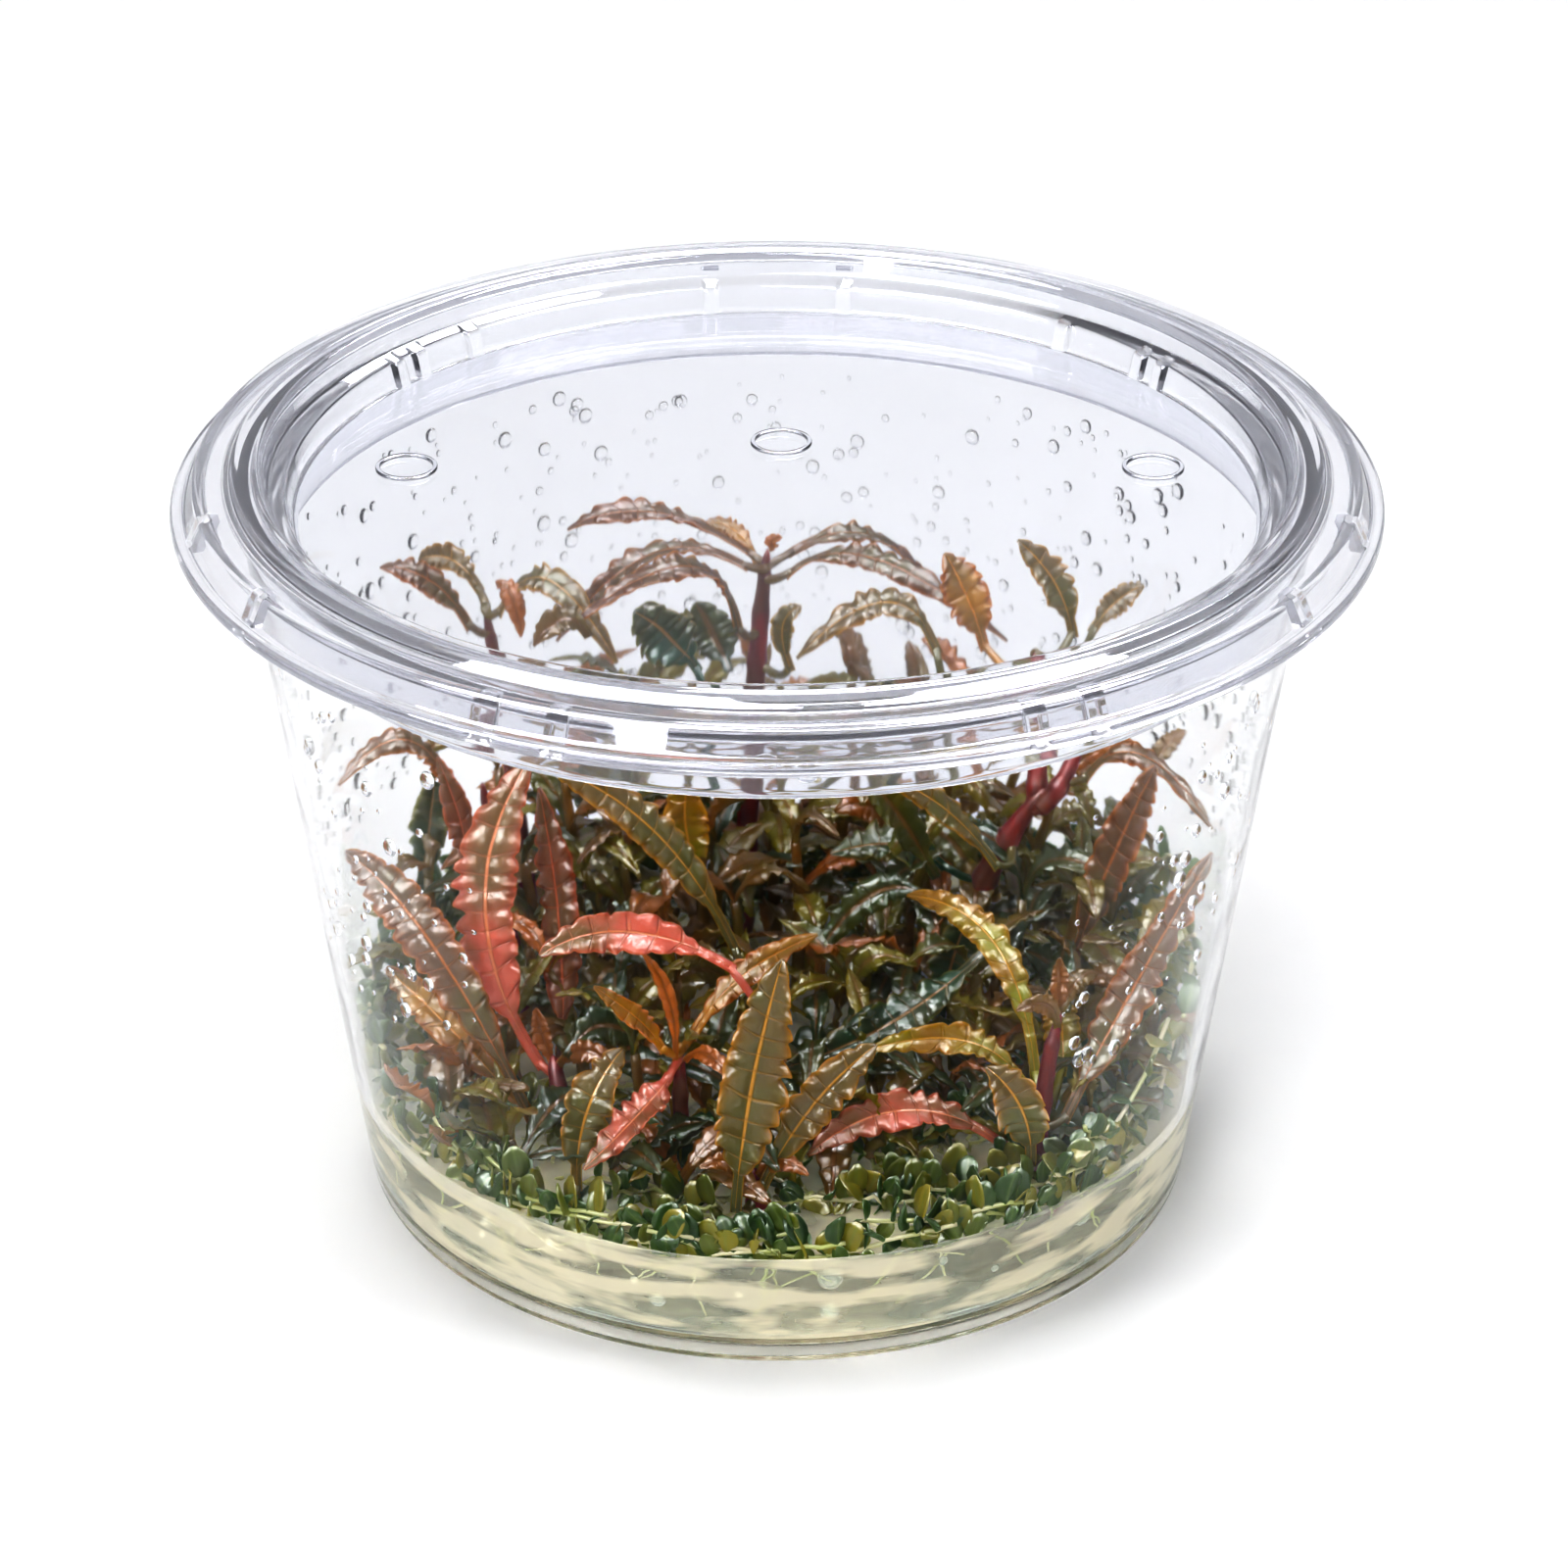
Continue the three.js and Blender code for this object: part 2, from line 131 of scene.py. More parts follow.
class Shader:
    """One material and the nodes that are made for it."""

    def __init__(self, name):
        self.material = bpy.data.materials.new(name)
        self.material.use_nodes = True
        self.tree = self.material.node_tree
        self.tree.nodes.clear()
        self.end = self.tree.nodes.new("ShaderNodeOutputMaterial")

    def node(self, kind, settings, inputs):
        """A node of a type: its settings first, then the values or links of its sockets."""
        made = self.tree.nodes.new(kind)
        for key, value in settings.items():
            if key == "stops":
                self._fill_ramp(made.color_ramp, value)
            else:
                setattr(made, key, value)
        for key, value in inputs.items():
            if isinstance(value, Socket):
                self.tree.links.new(value.out, made.inputs[key])
            elif isinstance(value, bpy.types.NodeSocket):
                self.tree.links.new(value, made.inputs[key])
            elif isinstance(value, tuple) and made.inputs[key].type == "RGBA":
                made.inputs[key].default_value = (*value, 1)
            else:
                made.inputs[key].default_value = value
        return made

    def _fill_ramp(self, ramp, stops):
        """Give a colour ramp its stops, each a position and a colour."""
        while len(ramp.elements) < len(stops):
            ramp.elements.new(0.5)
        for element, (position, colour) in zip(ramp.elements, stops):
            element.position = position
            element.color = (*colour, 1)

    def noise(self, scale, detail=3, stretch=(1, 1, 1)):
        """Noise on the place on the piece, in metres."""
        place = self.node("ShaderNodeTexCoord", {}, {}).outputs["Object"]
        mapped = self.node("ShaderNodeMapping", {}, {"Vector": place, "Scale": stretch})
        made = self.node(
            "ShaderNodeTexNoise",
            {},
            {"Vector": mapped.outputs[0], "Scale": scale, "Detail": detail},
        )
        return Socket(self, made.outputs[0])

    def mapped(self, name):
        """The two numbers of a UV map."""
        uv = self.node("ShaderNodeUVMap", {"uv_map": name}, {})
        split = self.node("ShaderNodeSeparateXYZ", {}, {0: uv.outputs[0]})
        return Socket(self, split.outputs[0]), Socket(self, split.outputs[1])

    def mixed(self, share, first, second):
        """Colour first where share is 0, second where it is 1."""
        made = self.node("ShaderNodeMix", {"data_type": "RGBA"}, {0: share, 6: first, 7: second})
        return made.outputs[2]

    def ramp(self, value, *stops):
        """Colours along a value, each stop a position and a colour."""
        return self.node("ShaderNodeValToRGB", {"stops": stops}, {0: value}).outputs[0]

    def bump(self, height, strength, distance):
        """Normals of a surface that is raised by height times distance, in metres."""
        made = self.node(
            "ShaderNodeBump", {}, {"Height": height, "Strength": strength, "Distance": distance}
        )
        return made.outputs[0]

    def principled(self, **inputs):
        """The main surface shader, its sockets named with underscores for spaces."""
        named = {key.replace("_", " "): value for key, value in inputs.items()}
        return self.node("ShaderNodeBsdfPrincipled", {}, named).outputs[0]

    def either(self, share, first, second):
        """Surface first where share is 0, second where it is 1."""
        return self.node("ShaderNodeMixShader", {}, {0: share, 1: first, 2: second}).outputs[0]

    def backlit(self, share, surface, colour):
        """The surface, with a share of coloured light that comes through from behind it."""
        through = self.node("ShaderNodeBsdfTranslucent", {}, {"Color": colour})
        return self.either(share, surface, through.outputs[0])

    def lit_through(self, surface, tint):
        """The surface, but clear to lamplight and to light on its way to a matt surface, so
        that what stands behind or inside it is lit."""
        path = self.node("ShaderNodeLightPath", {}, {})
        passes = Socket(self, path.outputs["Is Shadow Ray"]).most(
            Socket(self, path.outputs["Is Diffuse Ray"])
        )
        through = self.node("ShaderNodeBsdfTransparent", {}, {"Color": tint})
        return self.either(passes, surface, through.outputs[0])

    def finish(self, surface, volume=None):
        """The finished material, with what fills it where that isn't air."""
        self.tree.links.new(surface, self.end.inputs["Surface"])
        if volume is not None:
            self.tree.links.new(volume, self.end.inputs["Volume"])
        return self.material


# The room shows brighter in plastic and water than it lights matt surfaces.
SKY_SEEN = 0.75
SKY_LIGHT = 0.36
SKY_STOPS = ((0.0, 1.0), (0.15, 0.9), (0.4, 0.75), (0.7, 0.7), (1.0, 0.8))
world = bpy.data.worlds.new("studio")
world.use_nodes = True
scene.world = world
sky = world.node_tree
sky_place = sky.nodes.new("ShaderNodeTexCoord")
sky_split = sky.nodes.new("ShaderNodeSeparateXYZ")
sky_ramp = sky.nodes.new("ShaderNodeValToRGB")
sky_path = sky.nodes.new("ShaderNodeLightPath")
sky_power = sky.nodes.new("ShaderNodeMapRange")
sky.links.new(sky_place.outputs["Generated"], sky_split.inputs[0])
sky.links.new(sky_split.outputs["Z"], sky_ramp.inputs[0])
while len(sky_ramp.color_ramp.elements) < len(SKY_STOPS):
    sky_ramp.color_ramp.elements.new(0.5)
for element, (position, grey) in zip(sky_ramp.color_ramp.elements, SKY_STOPS):
    element.position = position
    element.color = (grey * 0.93, grey * 0.94, grey, 1)
sky.links.new(sky_ramp.outputs[0], sky.nodes["Background"].inputs[0])
sky.links.new(sky_path.outputs["Is Diffuse Ray"], sky_power.inputs["Value"])
sky_power.inputs["To Min"].default_value = SKY_SEEN
sky_power.inputs["To Max"].default_value = SKY_LIGHT
sky.links.new(sky_power.outputs[0], sky.nodes["Background"].inputs[1])

LAMP_AIM = (0, 0, 0.03)


def soft_lamp(name, place, width, power, shine=False):
    """A square area lamp at place that faces the cup. It either lights matt surfaces, or
    only shows as a shine on wet and glossy ones."""
    data = bpy.data.lights.new(name, "AREA")
    data.shape = "SQUARE"
    data.size = width
    data.energy = power
    lamp = bpy.data.objects.new(name, data)
    lamp.location = place
    way = np.array(LAMP_AIM) - np.array(place, float)
    way = way / np.linalg.norm(way)
    lamp.rotation_euler = (math.acos(-way[2]), 0, math.atan2(way[1], way[0]) - math.pi / 2)
    lamp.visible_diffuse = not shine
    lamp.visible_glossy = shine
    lamp.visible_transmission = shine
    bpy.context.collection.objects.link(lamp)


soft_lamp("lamp_over", (-0.2, 0.3, 1.5), 0.6, 9)
soft_lamp("lamp_left", (-1.1, -0.5, 1.1), 0.3, 4)
soft_lamp("lamp_right", (1.1, -0.2, 1.2), 0.3, 4)
soft_lamp("lamp_key", (-0.5, -1.1, 1.0), 0.5, 8)
soft_lamp("lamp_front", (0.3, -1.5, 0.5), 0.4, 7)
soft_lamp("lamp_behind", (0, 2.4, 1.6), 1.2, 10)
soft_lamp("shine_left", (-0.8, -0.8, 1.3), 1.5, 250, True)
soft_lamp("shine_right", (0.9, -0.5, 1.2), 1.0, 130, True)
soft_lamp("shine_back", (0.2, 0.9, 1.2), 0.6, 40, True)

FLOOR_HALF = 4.0
FLOOR_Z = -0.00006
floor_mesh = bpy.data.meshes.new("floor")
floor_mesh.from_pydata(
    [(-FLOOR_HALF, -FLOOR_HALF, FLOOR_Z), (FLOOR_HALF, -FLOOR_HALF, FLOOR_Z),
     (FLOOR_HALF, FLOOR_HALF, FLOOR_Z), (-FLOOR_HALF, FLOOR_HALF, FLOOR_Z)],
    [], [(0, 1, 2, 3)],
)
floor = bpy.data.objects.new("floor", floor_mesh)
bpy.context.collection.objects.link(floor)
floor_shader = Shader("floor_paper")
floor_mesh.materials.append(floor_shader.finish(floor_shader.principled(
    Base_Color=floor_shader.mixed(floor_shader.noise(90), (0.93, 0.93, 0.93), (0.95, 0.95, 0.95)),
    Roughness=0.75,
    Specular_IOR_Level=0.2,
)))

# Cup.
# A thin tapered cup of clear plastic, moulded in one piece: a foot ring round a raised floor,
# a straight wall and a plain rim. It is one closed outline turned about the axis.
MM = 0.001
FOOT_R = 42.7
FOOT_INNER_R = 40.4
FLOOR_R = 39.6
DRAFT = 0.1325
WALL = 1.1
NECK_Z = 73
RIM_Z = 77
FLOOR_RISE = 1.4
FLOOR_TOP = 2.6
CORNER_Z = 3.5
CORNER_IN = 0.9
AROUND = np.linspace(0, 2 * math.pi, 480, endpoint=False)


def cup_inside(z):
    """Radius of the cup's inner wall at a height, in millimetres: a cone up to the neck."""
    return FOOT_R + DRAFT * np.minimum(z, NECK_Z) - WALL


def eased(outline, radius, steps=3):
    """Each corner of a closed outline of radius and height becomes a short quadratic curve
    that starts and ends up to radius away from it, with one more point on the straight part
    at each end, which keeps the shading of large flat faces flat. Corners on the axis stay."""
    most_of_side = 0.3
    beyond = 1.4
    points = np.array(outline, float)
    made = []
    for i, corner in enumerate(points):
        if corner[0] < 1e-6:
            made.append(corner)
            continue
        back = points[i - 1] - corner
        on = points[(i + 1) % len(points)] - corner
        start = back * min(radius / np.linalg.norm(back), most_of_side)
        stop = on * min(radius / np.linalg.norm(on), most_of_side)
        made.append(corner + start * beyond)
        for t in np.linspace(0, 1, steps + 1):
            made.append(corner + (1 - t) ** 2 * start + t ** 2 * stop)
        made.append(corner + stop * beyond)
    return np.array(made)


class Batch:
    """Closed shapes, each a grid of rings by points in millimetres, that become one mesh.
    Each ring closes on itself. notes gives each point four numbers, kept in the UV maps
    blade and place."""

    def __init__(self):
        self.points = []
        self.notes = []
        self.quads = []
        self.caps = []
        self.count = 0

    def add(self, rings, notes=None, capped=True):
        """Each ring is joined to the next by quads, and a face closes each end if capped."""
        rows, columns = rings.shape[:2]
        index = self.count + np.arange(rows * columns).reshape(rows, columns)
        turned_on = np.roll(index, -1, axis=1)
        quads = [index[:-1], turned_on[:-1], turned_on[1:], index[1:]]
        self.quads.append(np.stack(quads, -1).reshape(-1, 4))
        if capped:
            self.caps.append(index[0][::-1].tolist())
            self.caps.append(index[-1].tolist())
        self.points.append(rings.reshape(-1, 3))
        plain = np.zeros((rows, columns, 4))
        self.notes.append((plain if notes is None else plain + notes).reshape(-1, 4))
        self.count += rows * columns

    def piece(self, name, material, welded=False):
        """The object of the whole mesh. Welding joins points that meet at seams and poles."""
        mesh = bpy.data.meshes.new(name)
        points = np.concatenate(self.points) * MM
        faces = np.concatenate(self.quads).tolist() + self.caps
        mesh.from_pydata(points.tolist(), [], faces)
        corners = np.empty(len(mesh.loops), int)
        mesh.loops.foreach_get("vertex_index", corners)
        notes = np.concatenate(self.notes)[corners]
        if notes.any():
            mesh.uv_layers.new(name="blade").data.foreach_set("uv", notes[:, :2].ravel())
            mesh.uv_layers.new(name="place").data.foreach_set("uv", notes[:, 2:].ravel())
        mesh.polygons.foreach_set("use_smooth", np.ones(len(mesh.polygons), bool))
        mesh.materials.append(material)
        if welded:
            loose = bmesh.new()
            loose.from_mesh(mesh)
            bmesh.ops.remove_doubles(loose, verts=loose.verts, dist=1e-7)
            loose.to_mesh(mesh)
            loose.free()
        piece = bpy.data.objects.new(name, mesh)
        bpy.context.collection.objects.link(piece)
        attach(piece, "root")
        return piece


def turned(outline, angles, push=None):
    """Rings of a solid of revolution: the closed outline of radius and height taken round the
    axis. push may move points in or out, from their radius, height and angle. The last ring
    meets the first, or both lie on the axis, so that welding closes the solid."""
    outline = np.asarray(outline, float)
    if outline[0, 0] > 1e-6:
        outline = np.concatenate([outline, outline[:1]])
    radius, height, angle = np.broadcast_arrays(outline[:, :1], outline[:, 1:], angles)
    if push is not None:
        radius = radius + push(radius, height, angle)
    return np.stack([radius * np.sin(angle), -radius * np.cos(angle), height], -1)


def clear_plastic(name, tint, waves, shine, cloudy):
    """Clear plastic with faint flow waves, cloudy by a share outside the lid's panel."""
    panel_half = 47.3 * MM
    panel_edge = 0.00002
    shader = Shader(name)
    glass = shader.principled(
        Base_Color=tint,
        Roughness=0.03,
        IOR=1.5,
        Specular_Tint=shine,
        Transmission_Weight=1.0,
        Normal=shader.bump(shader.noise(waves, 2), 0.15, 0.4 * MM),
    )
    place = shader.node("ShaderNodeTexCoord", {}, {}).outputs["Object"]
    split = shader.node("ShaderNodeSeparateXYZ", {}, {0: place})
    across = Socket(shader, split.outputs[0])
    deep = Socket(shader, split.outputs[1])
    rim = (across * across + deep * deep).above(panel_half ** 2, panel_edge)
    surface = shader.backlit(rim * cloudy, glass, (0.9, 0.91, 0.97))
    return shader.finish(shader.lit_through(surface, (0.985, 0.985, 0.99)))


cup_outline = eased([
    (0, FLOOR_RISE),
    (FLOOR_R, FLOOR_RISE),
    (FOOT_INNER_R, 0),
    (FOOT_R - 0.4, 0),
    (cup_inside(0.5) + WALL, 0.5),
    (cup_inside(NECK_Z) + WALL, NECK_Z),
    (cup_inside(NECK_Z) + WALL, RIM_Z),
    (cup_inside(NECK_Z), RIM_Z),
    (cup_inside(NECK_Z), NECK_Z),
    (cup_inside(CORNER_Z), CORNER_Z),
    (cup_inside(CORNER_Z) - CORNER_IN, FLOOR_TOP),
    (0, FLOOR_TOP),
], 0.4)
cup_batch = Batch()
cup_batch.add(turned(cup_outline, AROUND), capped=False)
CUP_SKIN = clear_plastic("cup_plastic", (0.98, 0.985, 0.99), 60, (0.08, 0.08, 0.09), 0)
cup = cup_batch.piece("clear_cup", CUP_SKIN, True)
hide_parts("cup")

# Lid.
# One moulding of the same plastic: a panel sunk in a recess, a plug wall that goes down
# inside the cup, a bead over the cup's rim and a sloping skirt with a lip. Ribs stand in the
# skirt and the recess, and three small rings on the panel.
PANEL_Z = 73
PLUG_Z = 66.6
PLUG_R = 49.7
LIP_R = 59
LIP_Z = 73.4
LID_Z = 78.5
RIM_ROOF = 77.4
SKIRT_RIBS = (-76, -58, -27, -20, 23.6, 29.7, 58, 76, 172.5, 187.5)
RECESS_RIBS = (171.5, 188.5, 141, 128, 124, 231, 235, 222)
RING_SPOTS = ((-36.8, 6.9), (0.4, 13), (37.3, 6.9))
RING_R = 3.1
SKIRT_RIB_DEPTH = 1.1
RECESS_RIB_DEPTH = 0.6
RIB_REACH = 50
RIB_HALF = 0.8 / RIB_REACH
RIB_SOFT = 0.15 / RIB_REACH

lid_outline = eased([
    (0, PANEL_Z - 1),
    (48.2, PANEL_Z - 1),
    (PLUG_R - 1.3, PLUG_Z + 0.3),
    (PLUG_R - 1, PLUG_Z),
    (PLUG_R - 0.3, PLUG_Z),
    (PLUG_R, PLUG_Z + 0.4),
    (50.5, 75.2),
    (50.8, RIM_ROOF),
    (52.9, RIM_ROOF),
    (53.1, 76.4),
    (55.7, 76.4),
    (57.1, LIP_Z),
    (LIP_R - 0.3, LIP_Z),
    (LIP_R, LIP_Z + 0.3),
    (LIP_R, 74.5),
    (LIP_R - 0.2, 74.8),
    (57.9, 74.8),
    (56.6, 77.4),
    (53.9, 77.4),
    (53.4, 77.9),
    (52.7, LID_Z),
    (50.4, LID_Z),
    (49.5, 76.3),
    (47.9, 75.6),
    (47.2, PANEL_Z),
    (0, PANEL_Z),
], 0.35)


def lid_angles():
    """Even angles, with four more at the edges of each rib and none closer than a hair."""
    edges = (-RIB_HALF - RIB_SOFT, -RIB_HALF, RIB_HALF, RIB_HALF + RIB_SOFT)
    ribs = [math.radians(d) + edge for d in SKIRT_RIBS + RECESS_RIBS for edge in edges]
    angles = np.sort(np.mod(np.concatenate([AROUND, ribs]), 2 * math.pi))
    return angles[np.append(True, np.diff(angles) > 1e-4)]


def on_rib(angle, ribs):
    """True within half a rib's width of any of the ribs' angles."""
    away = angle[..., None] - np.radians(ribs)
    return (np.abs(np.angle(np.exp(1j * away))) <= RIB_HALF + 1e-6).any(-1)


def rib_push(radius, height, angle):
    """Where a rib stands, the skirt's inner wall and the recess wall step inwards."""
    skirt_wall = (radius > 55.5) & (radius < 57.3) & (height > 73.6) & (height < 76.35)
    recess_wall = (radius > 47.1) & (radius < 48.6) & (height > 73.05) & (height < 75.9)
    skirt = skirt_wall & on_rib(angle, SKIRT_RIBS)
    recess = recess_wall & on_rib(angle, RECESS_RIBS)
    return -SKIRT_RIB_DEPTH * skirt - RECESS_RIB_DEPTH * recess


lid_batch = Batch()
lid_batch.add(turned(lid_outline, lid_angles(), rib_push), capped=False)
ring_outline = eased([
    (RING_R - 0.5, PANEL_Z - 0.2),
    (RING_R, PANEL_Z - 0.2),
    (RING_R, PANEL_Z + 0.25),
    (RING_R - 0.5, PANEL_Z + 0.25),
], 0.12)
for ring_x, ring_y in RING_SPOTS:
    lid_batch.add(turned(ring_outline, AROUND[::10]) + (ring_x, ring_y, 0), capped=False)
LID_SKIN = clear_plastic("lid_plastic", (0.93, 0.935, 0.965), 45, (0.7, 0.7, 0.8), 0.1)
lid = lid_batch.piece("clear_lid", LID_SKIN, True)
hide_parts("lid")

# Gel.
# A disc of clear culture gel, poured warm on the cup's floor and set. It wets the wall, where
# its edge climbs, and holds round air bubbles, which are hollows in the same solid.
GEL_Z = 12
GEL_WET = 0.12
BUBBLE_GAP = 0.5
BUBBLES = (
    (-42, 9.4, 1.3), (-31, 10.3, 1.2), (-16, 6.2, 1.7), (7, 9.7, 2.6), (7, 5.6, 2.0),
    (45, 9.0, 2.0), (-43, 7.6, 0.9), (-19, 8.3, 1.0), (-60, 8.5, 0.8), (58, 6.0, 1.1),
    (30, 7.4, 0.9), (22, 10.2, 1.0), (-5, 8.0, 0.8), (-52, 5.4, 1.0), (70, 9.4, 0.9),
)
gel_outline = eased([
    (0, FLOOR_TOP - GEL_WET),
    (cup_inside(CORNER_Z) - CORNER_IN + GEL_WET, FLOOR_TOP - GEL_WET),
    (cup_inside(CORNER_Z) + GEL_WET, CORNER_Z),
    (cup_inside(GEL_Z) + GEL_WET, GEL_Z + 1.1),
    (cup_inside(GEL_Z) - 0.5, GEL_Z + 0.5),
    (cup_inside(GEL_Z) - 2.0, GEL_Z),
    (30, GEL_Z),
    (0, GEL_Z),
], 0.3)


def ball(centre, radius, bands=12):
    """Rings of a small ball whose faces look inwards, as round a hollow."""
    tilt = np.linspace(-math.pi / 2, math.pi / 2, bands)[:, None]
    turn = -np.linspace(0, 2 * math.pi, 2 * bands, endpoint=False)[None, :]
    shape = np.cos(tilt) * np.cos(turn), np.cos(tilt) * np.sin(turn), np.sin(tilt) + 0 * turn
    return np.array(centre) + radius * np.stack(shape, -1)


gel_batch = Batch()
gel_batch.add(turned(gel_outline, AROUND), capped=False)
for degrees, bubble_z, across in BUBBLES:
    reach = cup_inside(bubble_z) - across / 2 - BUBBLE_GAP
    centre = (
        reach * math.sin(math.radians(degrees)),
        -reach * math.cos(math.radians(degrees)),
        bubble_z,
    )
    gel_batch.add(ball(centre, across / 2), capped=False)


def gel_skin():
    """Wet, straw-coloured gel, see-through, with a softly uneven surface and broad level streaks,
    cloudy cream and faintly blue: the streaks are painted refraction and reflection."""
    shader = Shader("gel")
    # Painted refraction and reflection: level bands that tint the gel pale teal and cream.
    streaks = shader.noise(140, 3, (0.65, 0.65, 3))
    wet = shader.principled(
        Base_Color=shader.mixed(streaks.above(0.5, 0.14), (0.78, 0.88, 0.88), (1.0, 0.96, 0.8)),
        Roughness=0.03,
        IOR=1.34,
        Specular_Tint=(0.3, 0.3, 0.3),
        Transmission_Weight=0.9,
        Normal=shader.bump(shader.noise(60, 1, (1, 1, 3)), 0.5, 1.5 * MM),
    )
    cloud = shader.principled(
        Base_Color=(1.0, 0.94, 0.74), Roughness=0.5, Specular_IOR_Level=0.1)
    # The cloudy cream share lies along the same painted bands.
    wet = shader.either(streaks.above(0.5, 0.2) * 0.4 + 0.12, wet, cloud)
    straw = shader.node(
        "ShaderNodeVolumeAbsorption", {}, {"Color": (0.9, 0.84, 0.5), "Density": 9.0}
    )
    return shader.finish(shader.lit_through(wet, (0.97, 0.96, 0.92)), straw.outputs[0])


gel = gel_batch.piece("culture_gel", gel_skin(), True)
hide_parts("gel")

# Stems.
# Fleshy wine-red stems, swollen where the leaves sit, that root in the gel. Each is a tube
# along a smooth route through its three points, and has its radius at the foot beside them.
JOINT_STEP = 6.5
STEMS = {
    "back_stem": (((-4, 20, 9), (-2.5, 21.5, 38), (-1, 22.5, 56)), 1.2),
    "back_left_stem": (((-26, 17, 9), (-28.5, 19.5, 34), (-30.5, 21, 50)), 1.0),
    "left_stem": (((-26, 3, 9), (-28.5, 2, 28), (-30, 1, 41)), 0.9),
    "front_left_stem": (((-21.5, -18.5, 9), (-21.6, -18.2, 14), (-22.5, -16, 19)), 1.2),
    "centre_stem": (((-9, -24, 9), (-9.5, -23.5, 17), (-9.5, -22.5, 24)), 0.9),
    "front_stem": (((-2, -32, 8), (-2, -32.4, 13.5), (-2.4, -33, 16.5)), 1.1),
    "right_front_stem": (((25.5, -26, 9), (26, -25.5, 20), (27.5, -24, 29)), 1.0),
    "right_stem": (((17, 10, 9), (21.5, 6.8, 26), (27.6, 5, 38)), 1.5),
    "right_branch_1": (((26.6, 5.4, 35), (26.8, 7.6, 42), (26.3, 10.5, 50)), 1.1),
    "right_branch_2": (((27.2, 4.8, 36), (29.8, 5.0, 40), (31.4, 7.2, 45)), 1.0),
}


def bent(base, middle, tip, t):
    """Points and directions of the quadratic curve from base to tip through middle."""
    base, middle, tip = (np.asarray(p, float) for p in (base, middle, tip))
    pull = 2 * middle - (base + tip) / 2
    t = t[:, None]
    points = (1 - t) ** 2 * base + 2 * t * (1 - t) * pull + t ** 2 * tip
    along = 2 * (1 - t) * (pull - base) + 2 * t * (tip - pull)
    return points, along / np.linalg.norm(along, axis=1, keepdims=True)


def tube(points, along, radii, sides):
    """Rings of a tube: circles of the given radii, square to a route's directions."""
    lead = np.array((1.0, 0.13, 0.07)) if abs(along[0][0]) < 0.8 else np.array((0.1, 1.0, 0.05))
    side = np.cross(along, lead)
    side = side / np.linalg.norm(side, axis=1, keepdims=True)
    other = np.cross(along, side)
    turn = np.linspace(0, 2 * math.pi, sides, endpoint=False)[None, :, None]
    ring = side[:, None] * np.cos(turn) + other[:, None] * np.sin(turn)
    return points[:, None] + ring * np.asarray(radii)[:, None, None]


def stem_skin():
    """Wine red with olive patches, fine lengthwise streaks and a moist gloss."""
    shader = Shader("stem")
    streaks = shader.noise(900, 3, (1, 1, 0.15))
    patches = shader.noise(160, 2)
    red = shader.mixed(streaks.above(0.5, 0.3), (0.12, 0.012, 0.012), (0.27, 0.03, 0.025))
    shade = shader.mixed(patches.above(0.58, 0.2), red, (0.13, 0.045, 0.02))
    flesh = shader.principled(
        Base_Color=shade,
        Roughness=0.4,
        Specular_IOR_Level=0.25,
        Coat_Weight=0.3,
        Coat_Roughness=0.12,
        Normal=shader.bump(streaks, 0.3, 0.2 * MM),
    )
    return shader.finish(shader.backlit(0.15, flesh, (0.5, 0.06, 0.03)))


STEM_SKIN = stem_skin()
for name, (route, stem_radius) in STEMS.items():
    t = np.linspace(0, 1, 40)
    points, along = bent(*route, t)
    length = np.linalg.norm(np.diff(points, axis=0), axis=1).sum()
    joints = np.abs(np.sin(math.pi * t * length / JOINT_STEP)) ** 14
    tip_round = 1 - 0.75 * t ** 7
    tip_round[-1] *= 0.4
    radii = stem_radius * (1 - 0.25 * t + 0.16 * joints) * tip_round
    batch = Batch()
    batch.add(tube(points, along, radii, 12))
    stem = batch.piece(name.replace("stem", "shoot") + "_flesh", STEM_SKIN)
    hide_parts(name)

